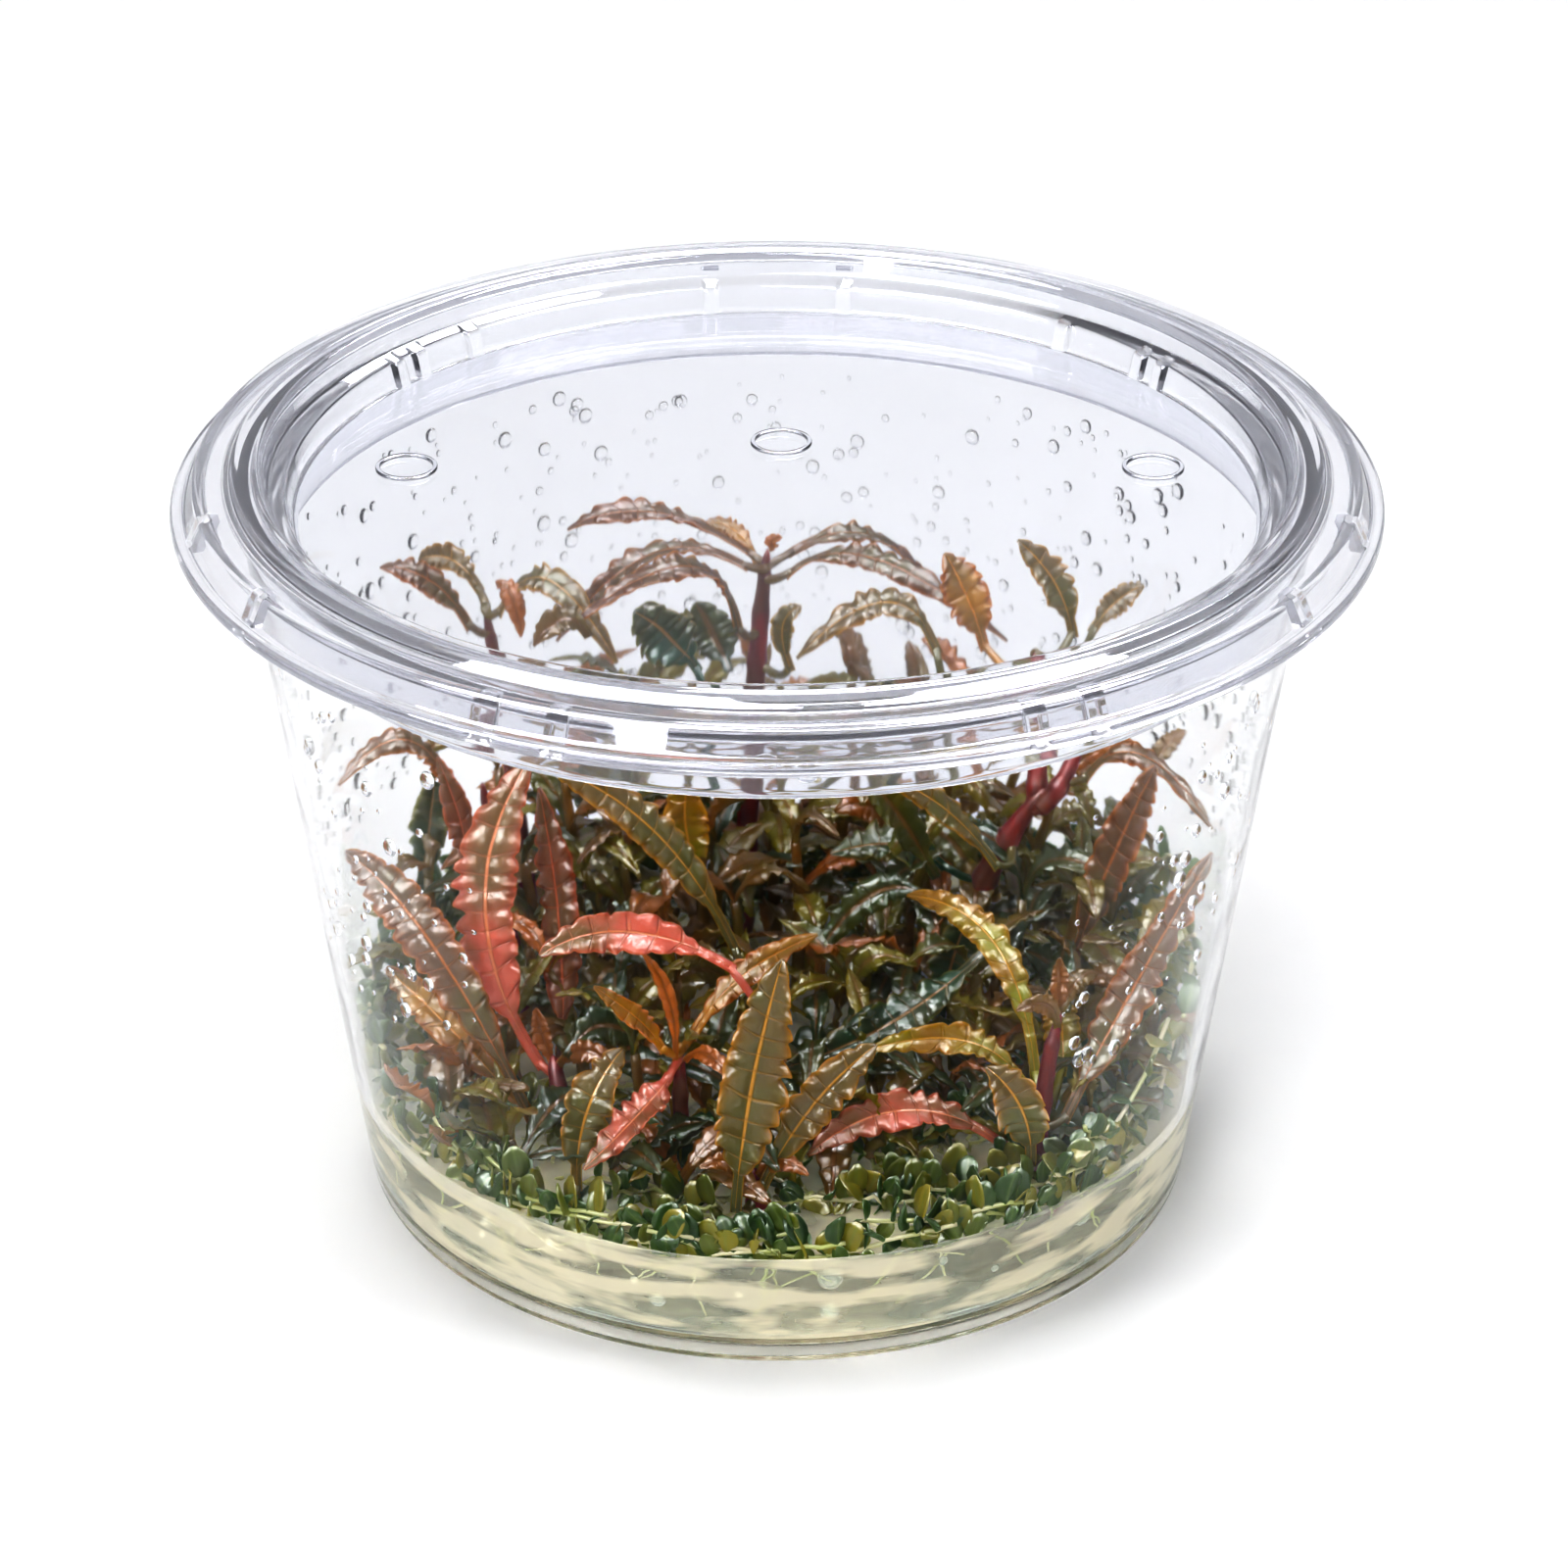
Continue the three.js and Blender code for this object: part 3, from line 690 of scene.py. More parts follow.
# Large leaves.
# Narrow blades with scalloped, wavy margins, sunk side veins and a strong midrib, each on a
# short stalk that joins its stem. Every leaf is one closed sheet, thinner towards its edge. A
# row has its midrib's base, middle and tip, its width, its lean in degrees and its colour.
LEAVES = {
    "back": (
        ((-2.5, 25, 54), (-13, 26, 58.5), (-22, 27, 56), 2.8, 20, "brown"),
        ((-3, 21, 54.5), (-13, 20, 56.5), (-23, 19, 47), 2.8, 25, "brown"),
        ((-4, 18, 48.5), (-9, 12, 59), (-20.5, 7, 55), 3.0, 30, "brown"),
        ((1, 21, 53.5), (10, 20, 56), (24, 19, 47), 3.0, 25, "brown"),
        ((1, 25, 54), (9, 28, 55), (16, 30, 48.5), 2.6, 25, "brown"),
        ((16.5, 12, 49), (11, 12, 55), (2, 12, 48.5), 3.4, 35, "olive"),
        ((-2.5, 27, 53), (-4.5, 29, 55), (-7.5, 30, 55.5), 2.4, 30, "orange"),
        ((1.5, 18, 44), (0.5, 17, 49.5), (2.5, 16, 52.5), 2.6, 60, "olive"),
        ((-8, 10, 48), (-11, 9, 52.5), (-14.5, 8, 56), 6.6, 62, "dark"),
    ),
    "back_left": (
        ((-32, 20, 48), (-36, 19, 54), (-41, 18, 56), 3.2, 40, "brown"),
        ((-31, 22.5, 51), (-34, 23, 54.5), (-37.5, 24, 54), 3.2, 45, "olive"),
        ((-29, 19, 50), (-23.5, 16, 55.5), (-16.5, 12, 48), 3.2, 35, "olive"),
    ),
    "back_right": (
        ((21.5, 14, 48.5), (19.5, 14, 54.5), (17, 14, 59.5), 4.8, 70, "orange"),
        ((30.5, 14, 50), (28.5, 14, 56), (24.5, 14, 61), 3.8, 65, "olive"),
        ((32.5, 17, 49), (35, 18, 52), (38, 19, 53.5), 2.8, 60, "olive"),
    ),
    "left": (
        ((-32.5, 6, 32), (-37, 2, 45), (-44.5, -2, 42), 2.8, 30, "brown"),
        ((-38, 12, 22), (-36.5, 10, 30.5), (-35.5, 8, 38.5), 4.2, 70, "dark"),
        ((-31, -2, 29.5), (-32, -3, 38.5), (-34, -4, 46.5), 3.0, 65, "red"),
        ((-23.5, -16, 17.5), (-29, -13, 34), (-24.5, -7, 48), 6.6, 70, "pink"),
        ((-22, -12, 16.5), (-22, -7, 28), (-24, -2, 42), 4.6, 70, "red"),
        ((-24, -21, 13.5), (-34, -17, 32.5), (-43, -10, 39), 5.4, 62, "brown"),
        ((-25.5, -16, 12.7), (-33.5, -13, 21), (-39.5, -9, 25), 4.2, 55, "orange"),
        ((-4, -12, 28.5), (-12, -14, 43.5), (-23, -17, 53), 4.2, 50, "olive"),
        ((-7.5, 10, 24), (-9.5, 9, 31), (-9, 8, 38), 5, 75, "green"),
    ),
    "front": (
        ((-4, -27, 35.5), (-14, -29, 41), (-22.5, -31, 39.5), 4.2, 50, "pink"),
        ((-11, -25, 25), (-13.5, -27, 30), (-17.5, -30, 35.5), 2.4, 45, "orange"),
        ((-8.5, -21, 24), (-3.5, -19, 30), (4, -16, 33), 3, 45, "orange"),
        ((-10.5, -26, 23), (-13, -30, 21.5), (-18.5, -36, 18.5), 3.8, 40, "pink"),
        ((-19.5, -31.5, 13), (-18.5, -30, 21), (-15, -26, 26), 5, 68, "olive"),
        ((-4, -36, 13.5), (-2.5, -37, 28), (0.5, -35, 41.5), 6.6, 75, "olive"),
        ((-1.5, -34, 15), (3.5, -33, 24), (9.5, -31, 29.5), 4.6, 60, "olive"),
        ((22.5, -25, 14), (12.5, -27, 19.5), (3, -29, 15.5), 4.2, 40, "pink"),
        ((24.6, -30, 15), (23.5, -31.5, 22.5), (20, -31, 27), 5, 70, "olive"),
        ((21.5, -8, 27), (12, -14, 22), (0.5, -20, 20), 5, 50, "dark"),
        ((24.5, -23, 19.5), (18.5, -23, 25), (9, -23, 24), 3.4, 40, "green"),
        ((25.5, -22, 20), (21.5, -17, 32.5), (13, -9, 33.5), 3.6, 50, "green"),
    ),
    "right": (
        ((28, -26, 17.5), (34.5, -20, 28.5), (43, -12, 40), 4.6, 62, "brown"),
        ((29.5, -20, 16.5), (34, -15, 21.5), (39.5, -10, 28), 4.2, 60, "dark"),
        ((30.5, 1, 19), (34, -1, 32.5), (38, -3, 45), 4.6, 65, "brown"),
        ((31.5, 4, 39.5), (37, 2, 43.5), (44.5, -1, 36.5), 2.6, 25, "brown"),
        ((22.5, -1, 32), (17, -4, 40.5), (10.5, -7, 46), 3.0, 45, "olive"),
        ((28.3, -17.5, 17.5), (28.5, -15.5, 21.5), (27.5, -13.5, 26), 3.8, 75, "green"),
    ),
    "middle": (
        ((17.5, 6, 28), (12.5, 4, 32), (5.5, 2, 32), 4.8, 45, "dark"),
        ((17, -3, 16.5), (18, -4, 23), (19.5, -6, 30), 5, 60, "dark"),
    ),
}
STALK_SHARE = 0.16
STALK_HALF = 0.55
STALK_RADIUS = 0.5
STALK_REACH = 9.0
# A stalk has the skin of a leaf's foot, halfway out to the margin and between side veins.
STALK_NOTES = (0.5, 0.5, 0, 0.3)
LOBE = 2.7
WALL_GAP = 0.5


def kept_inside(points):
    """Points moved in to just inside the cup's wall where they would be past it."""
    reach = np.linalg.norm(points[..., :2], axis=-1)
    share = np.minimum(1, (cup_inside(points[..., 2]) - WALL_GAP) / np.maximum(reach, 1e-6))
    return points * np.stack([share, share, np.ones_like(share)], -1)


def leaf(base, middle, tip, width, upper, rng, rows=110, across=13, lobe=LOBE, tone=0.5):
    """Rings round a leaf blade, and their notes: place across, lobes passed, place along,
    tone. Half width: a sine bulge past the stalk, cut in between lobes by how near a sine
    of the lobes is to zero. Height: a shallow trough, waves at the margin in step with the
    lobes and swellings between the side veins. upper is the way the upper side faces, and
    rng gives each blade a twist, a trough and unevenness of its own."""
    t = np.linspace(0, 1, rows)
    spine, along = bent(base, middle, tip, t)
    length = np.linalg.norm(np.diff(spine, axis=0), axis=1).sum()
    side = np.cross(along, upper)
    side = side / np.linalg.norm(side, axis=1, keepdims=True)
    face = np.cross(side, along)
    s = np.clip((t - STALK_SHARE) / (1 - STALK_SHARE), 0, 1)
    twist = rng.uniform(-0.7, 0.7) * (s - 0.3) + 0.25 * np.sin(7 * s + rng.uniform(0, 6))
    twist = twist[:, None]
    side, face = (
        side * np.cos(twist) + face * np.sin(twist),
        face * np.cos(twist) - side * np.sin(twist),
    )
    blade = 0.5 * width * np.sin(math.pi * s ** 0.85) ** 0.6
    half = np.maximum(blade, STALK_HALF * (1 - 0.6 * s) * min(1, width / 3))[:, None]
    u = np.linspace(-1, 1, across)[None, :]
    lobes = max(length / lobe, 7)
    uneven = 0.2 * np.sin(11 * s + rng.uniform(0, 6)) + 0.1 * np.sin(23 * s)
    passed = lobes * s[:, None] + uneven[:, None] + rng.uniform(-0.35, 0.35) * u
    bloom = np.clip(s / 0.12, 0, 1)[:, None]
    notch = (1 - np.abs(np.sin(math.pi * passed))) ** 1.5
    depth = 0.2 + 0.1 * np.sin(2.3 * passed + 3 * rng.uniform(0, 6))
    wide = u * half * (1 - depth * bloom * notch * np.abs(u) ** 1.5)
    trough = rng.uniform(-0.1, 0.35) * np.abs(u) ** 1.4
    strength = 0.22 + 0.1 * np.sin(1.7 * passed + rng.uniform(0, 6))
    wave = -np.cos(2 * math.pi * passed) * strength + np.sin(1.3 * passed + 2 * u) * 0.2
    curl = rng.uniform(-0.25, 0.1) * np.abs(u) ** 4
    quilt = 0.04 * np.sin(math.pi * (passed - 0.3 * np.abs(u))) ** 2 * np.sin(math.pi * np.abs(u))
    rib = -0.12 * np.exp(-(u / 0.12) ** 2)
    high = half * bloom * (trough + wave * np.abs(u) ** 4.5 + curl + quilt + rib)
    thick = np.minimum(0.36, 0.3 * half + 0.1) * (1 - 0.75 * np.abs(u) ** 4) + 0.02
    thick[0] *= 0.6
    thick[-1] *= 0.3
    sheet = spine[:, None] + side[:, None] * wide[..., None] + face[:, None] * high[..., None]
    lift = face[:, None] * thick[..., None] / 2
    rings = np.concatenate([sheet + lift, (sheet - lift)[:, ::-1]], axis=1)
    notes = np.stack(np.broadcast_arrays(u, passed, s[:, None], tone), -1)
    notes = np.concatenate([notes, notes[:, ::-1]], axis=1)
    return kept_inside(rings), notes


def stalk(base, away, foot, radius):
    """A tube from a leaf's base, first straight on from the leaf, to its foot on a stem."""
    base, foot = np.asarray(base, float), np.asarray(foot, float)
    gap = np.linalg.norm(foot - base)
    t = np.linspace(0, 1, 10)
    middle = (base + foot) / 2 + away * gap * 0.25
    points, along = bent(base - away * 0.8, middle, foot, t)
    return tube(points, along, radius * (0.8 + 0.35 * t), 8)


def nearest_on_stems(point, down):
    """The nearest point of any stem within reach, else a point further down towards the gel."""
    found, least = None, STALK_REACH
    for route, _ in STEMS.values():
        points, _ = bent(*route, np.linspace(0, 1, 30))
        climb = np.maximum(0, points[:, 2] - point[2])
        gaps = np.linalg.norm(points - point, axis=1) + 0.6 * climb
        if gaps.min() < least:
            found, least = points[gaps.argmin()], gaps.min()
    if found is not None:
        return found
    run = min(max(point[2] - GEL_Z + 1, 1), STALK_REACH)
    return np.array(point) + down * run * 0.4 - np.array((0, 0, run))


def side_veins(passed, across):
    """1 on the side veins, one to a lobe, which slant from the midrib towards the tip."""
    return 1 - ((passed - across * 0.3) * math.pi).sine().size().above(0.16, 0.2)


def waxy(shader, base, roughness, height):
    """A leaf's upper layer: a wet gloss that its lumps and veins break up, under thin wax."""
    return shader.principled(
        Base_Color=base,
        Roughness=roughness,
        Specular_IOR_Level=0.5,
        Coat_Weight=0.5,
        Coat_Roughness=0.07,
        Normal=shader.bump(height, 0.9, 0.45 * MM),
    )


def leaf_skin(name, young, old, margin, vein, glow):
    """A waxy wet blade: two colours in soft patches, margins and midrib of their own colour, a thin
    line of painted light at the very edge, sunk side veins, and some light through the sheet."""
    shader = Shader(name)
    across, passed = shader.mapped("blade")
    along, tone = shader.mapped("place")
    across = across.size()
    patches = shader.noise(150, 3)
    cells = shader.noise(2600, 2)
    share = (patches - 0.5) * 2.2 + along * 0.6 + tone * 0.5
    base = shader.mixed(share.above(0.45, 0.7), young, old)
    side_vein = side_veins(passed, across)
    midrib = 1 - across.above(0.06, 0.06)
    base = shader.mixed(side_vein * 0.45 * (1 - across), base, vein)
    base = shader.mixed((across ** 3) * 0.75 * patches.above(0.45, 0.3), base, margin)
    # Painted light: a thin pale line at the very margin, for light through the thin edge.
    base = shader.mixed(across.above(0.93, 0.08) * 0.7, base, vein)
    base = shader.mixed(midrib * 0.9, base, vein)
    lumps = shader.noise(260, 2)
    height = cells * 0.2 + lumps * 3.0 - side_vein * 0.6 - midrib * 0.6
    blade = waxy(shader, base, 0.1 + cells * 0.14, height)
    glowing = across.above(0.82, 0.3) * 0.35 + 0.18
    return shader.finish(shader.backlit(glowing, blade, glow))


LEAF_COLOURS = {
    "brown": ((0.13, 0.12, 0.04), (0.14, 0.08, 0.035), (0.42, 0.14, 0.03),
              (0.68, 0.25, 0.06), (1.0, 0.52, 0.03)),
    "olive": ((0.13, 0.14, 0.04), (0.16, 0.12, 0.04), (0.42, 0.22, 0.03),
              (0.8, 0.42, 0.06), (1.0, 0.68, 0.03)),
    "dark": ((0.02, 0.08, 0.04), (0.06, 0.075, 0.028), (0.22, 0.16, 0.03),
             (0.45, 0.25, 0.08), (0.35, 0.5, 0.04)),
    "green": ((0.32, 0.33, 0.012), (0.34, 0.18, 0.014), (0.6, 0.28, 0.015),
              (0.9, 0.5, 0.05), (1.0, 0.75, 0.01)),
    "orange": ((0.55, 0.28, 0.014), (0.26, 0.16, 0.02), (0.6, 0.15, 0.03),
               (0.9, 0.42, 0.05), (1.0, 0.5, 0.02)),
    "pink": ((0.74, 0.19, 0.12), (0.22, 0.14, 0.05), (0.8, 0.25, 0.15),
             (1.0, 0.42, 0.2), (1.0, 0.38, 0.12)),
    "red": ((0.26, 0.1, 0.04), (0.16, 0.1, 0.035), (0.5, 0.13, 0.06),
            (0.75, 0.22, 0.09), (1.0, 0.38, 0.03)),
}
LEAF_SKINS = {
    colour: leaf_skin("leaf_" + colour, *shades) for colour, shades in LEAF_COLOURS.items()
}

leaf_seed = 100
for part, rows in LEAVES.items():
    for place, (base, middle, tip, width, lean, colour) in enumerate(rows, 1):
        name = f"{part}_leaf_{place}"
        rng = np.random.default_rng(leaf_seed)
        leaf_seed += 1
        turn = math.radians(lean)
        batch = Batch()
        upper = np.array((0, -math.sin(turn), math.cos(turn)))
        batch.add(*leaf(base, middle, tip, width, upper, rng))
        _, ways = bent(base, middle, tip, np.array([0.0, 1.0]))
        foot = nearest_on_stems(np.array(base, float), -ways[0])
        batch.add(kept_inside(stalk(base, -ways[0], foot, STALK_RADIUS)), np.array(STALK_NOTES))
        piece = batch.piece(name + "_blade", LEAF_SKINS[colour])
        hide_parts(name)

# Small leaves.
# The crowded middle and back of the tuft: short shoots with pairs of small wavy leaves, each
# pair turned square to the one below, and single leaves near the stems. They are joined in
# three meshes. A shoot's numbers are its place on the gel and its height.
SHOOTS = {
    "small_leaves_front": (
        (-6, -17, 7), (4, -13, 6), (12, -8, 6), (29, -8, 11), (34, -4, 11), (-17, -12, 8),
        (-10, -6, 11), (-24, -3, 12), (-33, -5, 9), (-14, -26, 4), (-9, -20, 5), (0, -10, 8),
        (7, -6, 8), (-14, -8, 10), (-20, -8, 10), (-26, -10, 8), (26, -12, 9), (18, -4, 7),
        (-28, -14, 6), (31, -14, 8), (-8, -29, 2.5), (-13, -17, 7), (-2, -20, 4), (10, -16, 4),
        (18, -16, 4), (6, -22, 3), (13, -21, 3), (20, -10, 4), (-24, -26, 3), (30, -21, 4),
        (34, -14, 5), (22, -20, 3), (10, -23, 2.5), (-30, -20, 4), (-4, -25, 3),
    ),
    "small_leaves_middle": (
        (3, -4, 10), (9, 3, 12), (-4, 2, 15), (14, -1, 8), (23, -1, 9), (-12, 0, 14),
        (2, 8, 17), (14, 8, 17), (-6, 9, 17), (24, 4, 14), (28, 2, 13), (33, 8, 14),
        (-18, 6, 16), (-23, 8, 15), (-32, 8, 13), (-28, 2, 12), (30, 12, 15), (20, 12, 17),
        (-14, 8, 15), (8, 14, 20),
    ),
    "small_leaves_back": (
        (12, 16, 25), (19, 22, 24), (6, 26, 25), (15, 30, 20), (26, 14, 18), (-8, 14, 20),
        (-15, 22, 25), (-21, 15, 20), (-12, 31, 19), (-1, 33, 19), (-29, 24, 18), (24, 27, 17),
        (31, 20, 16), (0, 20, 24), (-8, 24, 23), (-22, 26, 20), (9, 36, 16), (-16, 35, 14),
    ),
}
# A single leaf has its midrib's base, middle and tip, its width and its tone.
SINGLE_LEAVES = (
    ((-0.5, 22, 56), (-0.5, 21, 57.5), (0.5, 20, 58.5), 1.6, 0.9),
    ((-5, 15, 45.5), (-6.5, 17, 48.5), (-8.5, 18, 52), 5.0, 0.1),
    ((-29, 18, 54), (-27.5, 17, 53.5), (-26.5, 16, 49), 2.4, 0.9),
    ((-19, 6, 54), (-21.5, 5, 56.5), (-24.5, 4, 54), 3.0, 0.6),
    ((-10, -24, 23), (-10.5, -25, 31), (-13, -27, 37.5), 1.6, 1.0),
    ((-9, -25, 24), (-6.5, -29, 27), (-3.5, -32, 24.5), 1.9, 0.95),
    ((-21, -18, 20), (-17.5, -16, 22.5), (-13.5, -14, 19), 4.0, 0.1),
    ((31.5, -4, 18), (28.5, -6, 23), (25, -8, 26.5), 4.0, 0.0),
    ((37.5, 6, 38), (40, 8, 41), (42.5, 10, 42), 2.2, 0.6),
    ((29.5, 8, 36.5), (33, 9, 40.5), (37.5, 10, 40.5), 2.6, 0.9),
    ((13.5, 10, 28), (10, 10, 33), (6, 10, 32.5), 3.2, 0.75),
    ((15.5, -4, 30), (10, -5, 31.5), (4, -6, 24.5), 3.6, 0.15),
    ((16.5, 4, 28), (12.5, 1, 37), (9, -1, 42.5), 4.0, 0.2),
    ((27.3, -24.5, 27), (26, -26, 31), (23, -28, 31.5), 2.2, 0.6),
    ((27.3, -24, 27.5), (29, -22, 31), (31.5, -20, 31), 2.2, 0.55),
    ((27.4, -24, 27.5), (27.5, -22.5, 31), (27.5, -22, 34), 1.8, 0.7),
    ((-22.3, -16.4, 17.5), (-19.5, -18.5, 21), (-16, -20, 20.5), 2.4, 0.75),
    ((-22.3, -16.4, 17.5), (-23.5, -15.5, 21), (-24, -15, 24), 2.0, 0.85),
    ((-2.4, -33, 15), (0, -34, 18), (3, -35.5, 17.5), 2.0, 0.8),
    ((-2.4, -33, 15), (-4.5, -34, 18), (-7.5, -35, 18), 2.0, 0.7),
)
NODE_STEP = 4.4
SHOOT_NOTES = (0.5, 0.5, 0, 0.6)
small_rng = np.random.default_rng(7)


def above_gel(points):
    """Points lifted to the gel where they would be under its surface."""
    low = GEL_Z + 0.25
    height = points[..., 2]
    lifted = points.copy()
    lifted[..., 2] = np.where(height < low, low + 0.05 * (height - low), height)
    return lifted


def small_skin():
    """One skin for all the small leaves, from dark teal through olive to brown and orange by
    each leaf's tone, with a wet gloss."""
    shader = Shader("small_leaf")
    across, passed = shader.mapped("blade")
    along, tone = shader.mapped("place")
    across = across.size()
    patches = shader.noise(170, 3)
    base = shader.ramp(
        tone + (patches - 0.5) * 0.5 + along * 0.06,
        (0.0, (0.014, 0.06, 0.036)),
        (0.22, (0.05, 0.08, 0.016)),
        (0.42, (0.28, 0.24, 0.01)),
        (0.58, (0.17, 0.11, 0.02)),
        (0.8, (0.34, 0.12, 0.02)),
        (1.0, (0.6, 0.2, 0.03)),
    )
    midrib = 1 - across.above(0.14, 0.12)
    base = shader.mixed(midrib * 0.6, base, (0.3, 0.12, 0.03))
    lumps = shader.noise(260, 2)
    height = lumps * 3.0 - side_veins(passed, across) * 0.6 - midrib * 0.5
    return shader.finish(
        shader.backlit(0.26, waxy(shader, base, 0.14, height), (0.85, 0.62, 0.01)))


def add_shoot(batch, x, y, height, rng):
    """A short stem that leans a little outwards, with a pair of leaves at each node. A leaf's
    midrib rises from the node, then bends over: the lower the node, the flatter and longer."""
    top = np.array((x * 1.08, y * 1.08, GEL_Z + height)) + rng.normal(0, 1.0, 3)
    base = np.array((x, y, GEL_Z - 1.5))
    middle = (base + top) / 2 + rng.normal(0, 1.0, 3) * (1, 1, 0)
    steps = 12
    points, along = bent(base, middle, top, np.linspace(0, 1, steps))
    tone = rng.uniform(0, 0.75)
    batch.add(tube(points, along, np.linspace(0.75, 0.5, steps), 7), np.array(SHOOT_NOTES))
    nodes = max(2, int(height / NODE_STEP))
    start = rng.uniform(0, math.pi)
    up = np.array((0, 0, 1.0))
    for k in range(nodes):
        share = (k + 1) / nodes
        node = points[int(share * (steps - 1))]
        for turn in (0, math.pi):
            heading = start + k * math.pi / 2 + turn + rng.uniform(-0.4, 0.4)
            way = np.array((math.cos(heading), math.sin(heading), 0))
            rise = 0.25 + 0.75 * share + rng.uniform(-0.2, 0.25)
            size = rng.uniform(12, 20) * (1 - 0.35 * share)
            middle = node + size * 0.5 * (way * math.cos(rise) + up * math.sin(rise))
            bow = rise - rng.uniform(0.5, 1.5)
            tip = middle + size * 0.5 * (way * math.cos(bow) + up * math.sin(bow))
            upper = up - way * 0.2 + rng.normal(0, 0.25, 3)
            leaf_tone = np.clip(tone + rng.normal(0, 0.14), 0, 1)
            rings, notes = leaf(
                node, middle, tip, size * rng.uniform(0.23, 0.32), upper, rng,
                rows=26, across=7, lobe=2.4, tone=leaf_tone,
            )
            batch.add(above_gel(rings), notes)


SMALL_SKIN = small_skin()
for name, shoots in SHOOTS.items():
    small_batch = Batch()
    for shoot_x, shoot_y, shoot_height in shoots:
        add_shoot(small_batch, shoot_x, shoot_y, shoot_height, small_rng)
    if name == "small_leaves_middle":
        for base, middle, tip, width, tone in SINGLE_LEAVES:
            upper = np.array((0, -0.8, 0.6))
            small_batch.add(*leaf(
                base, middle, tip, width, upper, small_rng, rows=44, across=9, tone=tone))
    small_leaves = small_batch.piece(name, SMALL_SKIN)
    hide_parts("inner_foliage")

# Carpet.
# Small oval leaves in pairs on creeping runners, which lie on the gel and climb the wall.
# Pale threads hang into the gel and lie on it. Leaves and threads are one mesh each.
carpet_rng = np.random.default_rng(21)
RUNNERS = 150
THREADS = 260
SURFACE_THREADS = 160
THREAD_STEPS = 12
RUNNER_RADIUS = 0.24
THREAD_RADIUS = 0.2


def carpet_top(angle):
    """How high the carpet climbs the wall: low in front, higher at the left, and highest at
    the right. Powers of the angle's sine, in millimetres."""
    return 14.5 + 10 * np.sin(angle) ** 4 + 5 * np.clip(np.sin(angle), 0, 1) ** 3


def wavering(rng, steps, size):
    """A smooth random path: the running sum of random steps."""
    return np.cumsum(rng.normal(0, size, steps))


def runner_path(rng):
    """A runner's points: round the cup and up the wall, or out over the gel, wavering."""
    steps = 14
    climbs = rng.uniform() < 0.55
    start = rng.uniform(-math.pi, math.pi)
    heading = rng.choice((-1, 1)) * rng.uniform(0.012, 0.03)
    angle = start + heading * np.arange(steps) + wavering(rng, steps, 0.008)
    if climbs:
        rise = np.linspace(0, 1, steps) * rng.uniform(0.5, 1.0)
        z = GEL_Z + 0.6 + (carpet_top(angle) - GEL_Z) * rise + wavering(rng, steps, 0.15)
        reach = cup_inside(z) - rng.uniform(0.9, 2.4)
    else:
        z = GEL_Z + 0.8 + np.abs(wavering(rng, steps, 0.25))
        reach = rng.uniform(26, 42) + wavering(rng, steps, 0.4)
    z = np.maximum(z, GEL_Z + 0.5)
    reach = np.minimum(reach, cup_inside(z) - 0.8)
    return np.stack([reach * np.sin(angle), -reach * np.cos(angle), z], -1)


def directions(points):
    """The unit direction of a path at each of its points."""
    along = np.gradient(points, axis=0)
    return along / np.linalg.norm(along, axis=1, keepdims=True)


def oval_leaf(base, way, upper, size, rng, tone):
    """Rings round a small spoon-shaped leaf: half width an ellipse, edges a little raised."""
    t = np.linspace(0, 1, 6)
    side = np.cross(way, upper)
    side = side / np.linalg.norm(side)
    face = np.cross(side, way)
    half = size * rng.uniform(0.3, 0.4) * np.sqrt(np.clip(1 - (2 * t - 1.08) ** 2 * 0.86, 0.004, 1))
    half[0] = 0.12
    half[-1] *= 0.5
    u = np.linspace(-1, 1, 4)[None, :]
    high = half[:, None] * (0.3 * u ** 2) - size * 0.12 * (t[:, None] - 0.5) ** 2
    flat = (
        np.asarray(base)
        + way * (size * t[:, None, None])
        + side * (u * half[:, None])[..., None]
        + face * high[..., None]
    )
    lift = face * (0.12 * (1 - 0.7 * u[..., None] ** 2))
    rings = np.concatenate([flat + lift, (flat - lift)[:, ::-1]], axis=1)
    notes = np.stack(np.broadcast_arrays(u, 0, t[:, None], tone), -1)
    return rings, np.concatenate([notes, notes[:, ::-1]], axis=1)


leaf_batch = Batch()
thread_batch = Batch()
for _ in range(RUNNERS):
    path = runner_path(carpet_rng)
    ways = directions(path)
    thread_batch.add(tube(path, ways, np.full(len(path), RUNNER_RADIUS), 6))
    for k in range(0, len(path), 2):
        out = path[k] * (1, 1, 0)
        out = out / np.linalg.norm(out)
        for hand in (-1, 1):
            spread = np.cross(ways[k], out) * hand + carpet_rng.normal(0, 0.35, 3)
            spread = spread / np.linalg.norm(spread)
            upper = out * carpet_rng.uniform(-0.2, 1) + np.array((0, 0, 0.7))
            upper = upper + carpet_rng.normal(0, 0.4, 3)
            size = carpet_rng.uniform(1.9, 3.9)
            rings, notes = oval_leaf(
                path[k], spread, upper, size, carpet_rng, carpet_rng.uniform(0, 1))
            leaf_batch.add(above_gel(kept_inside(rings)), notes)

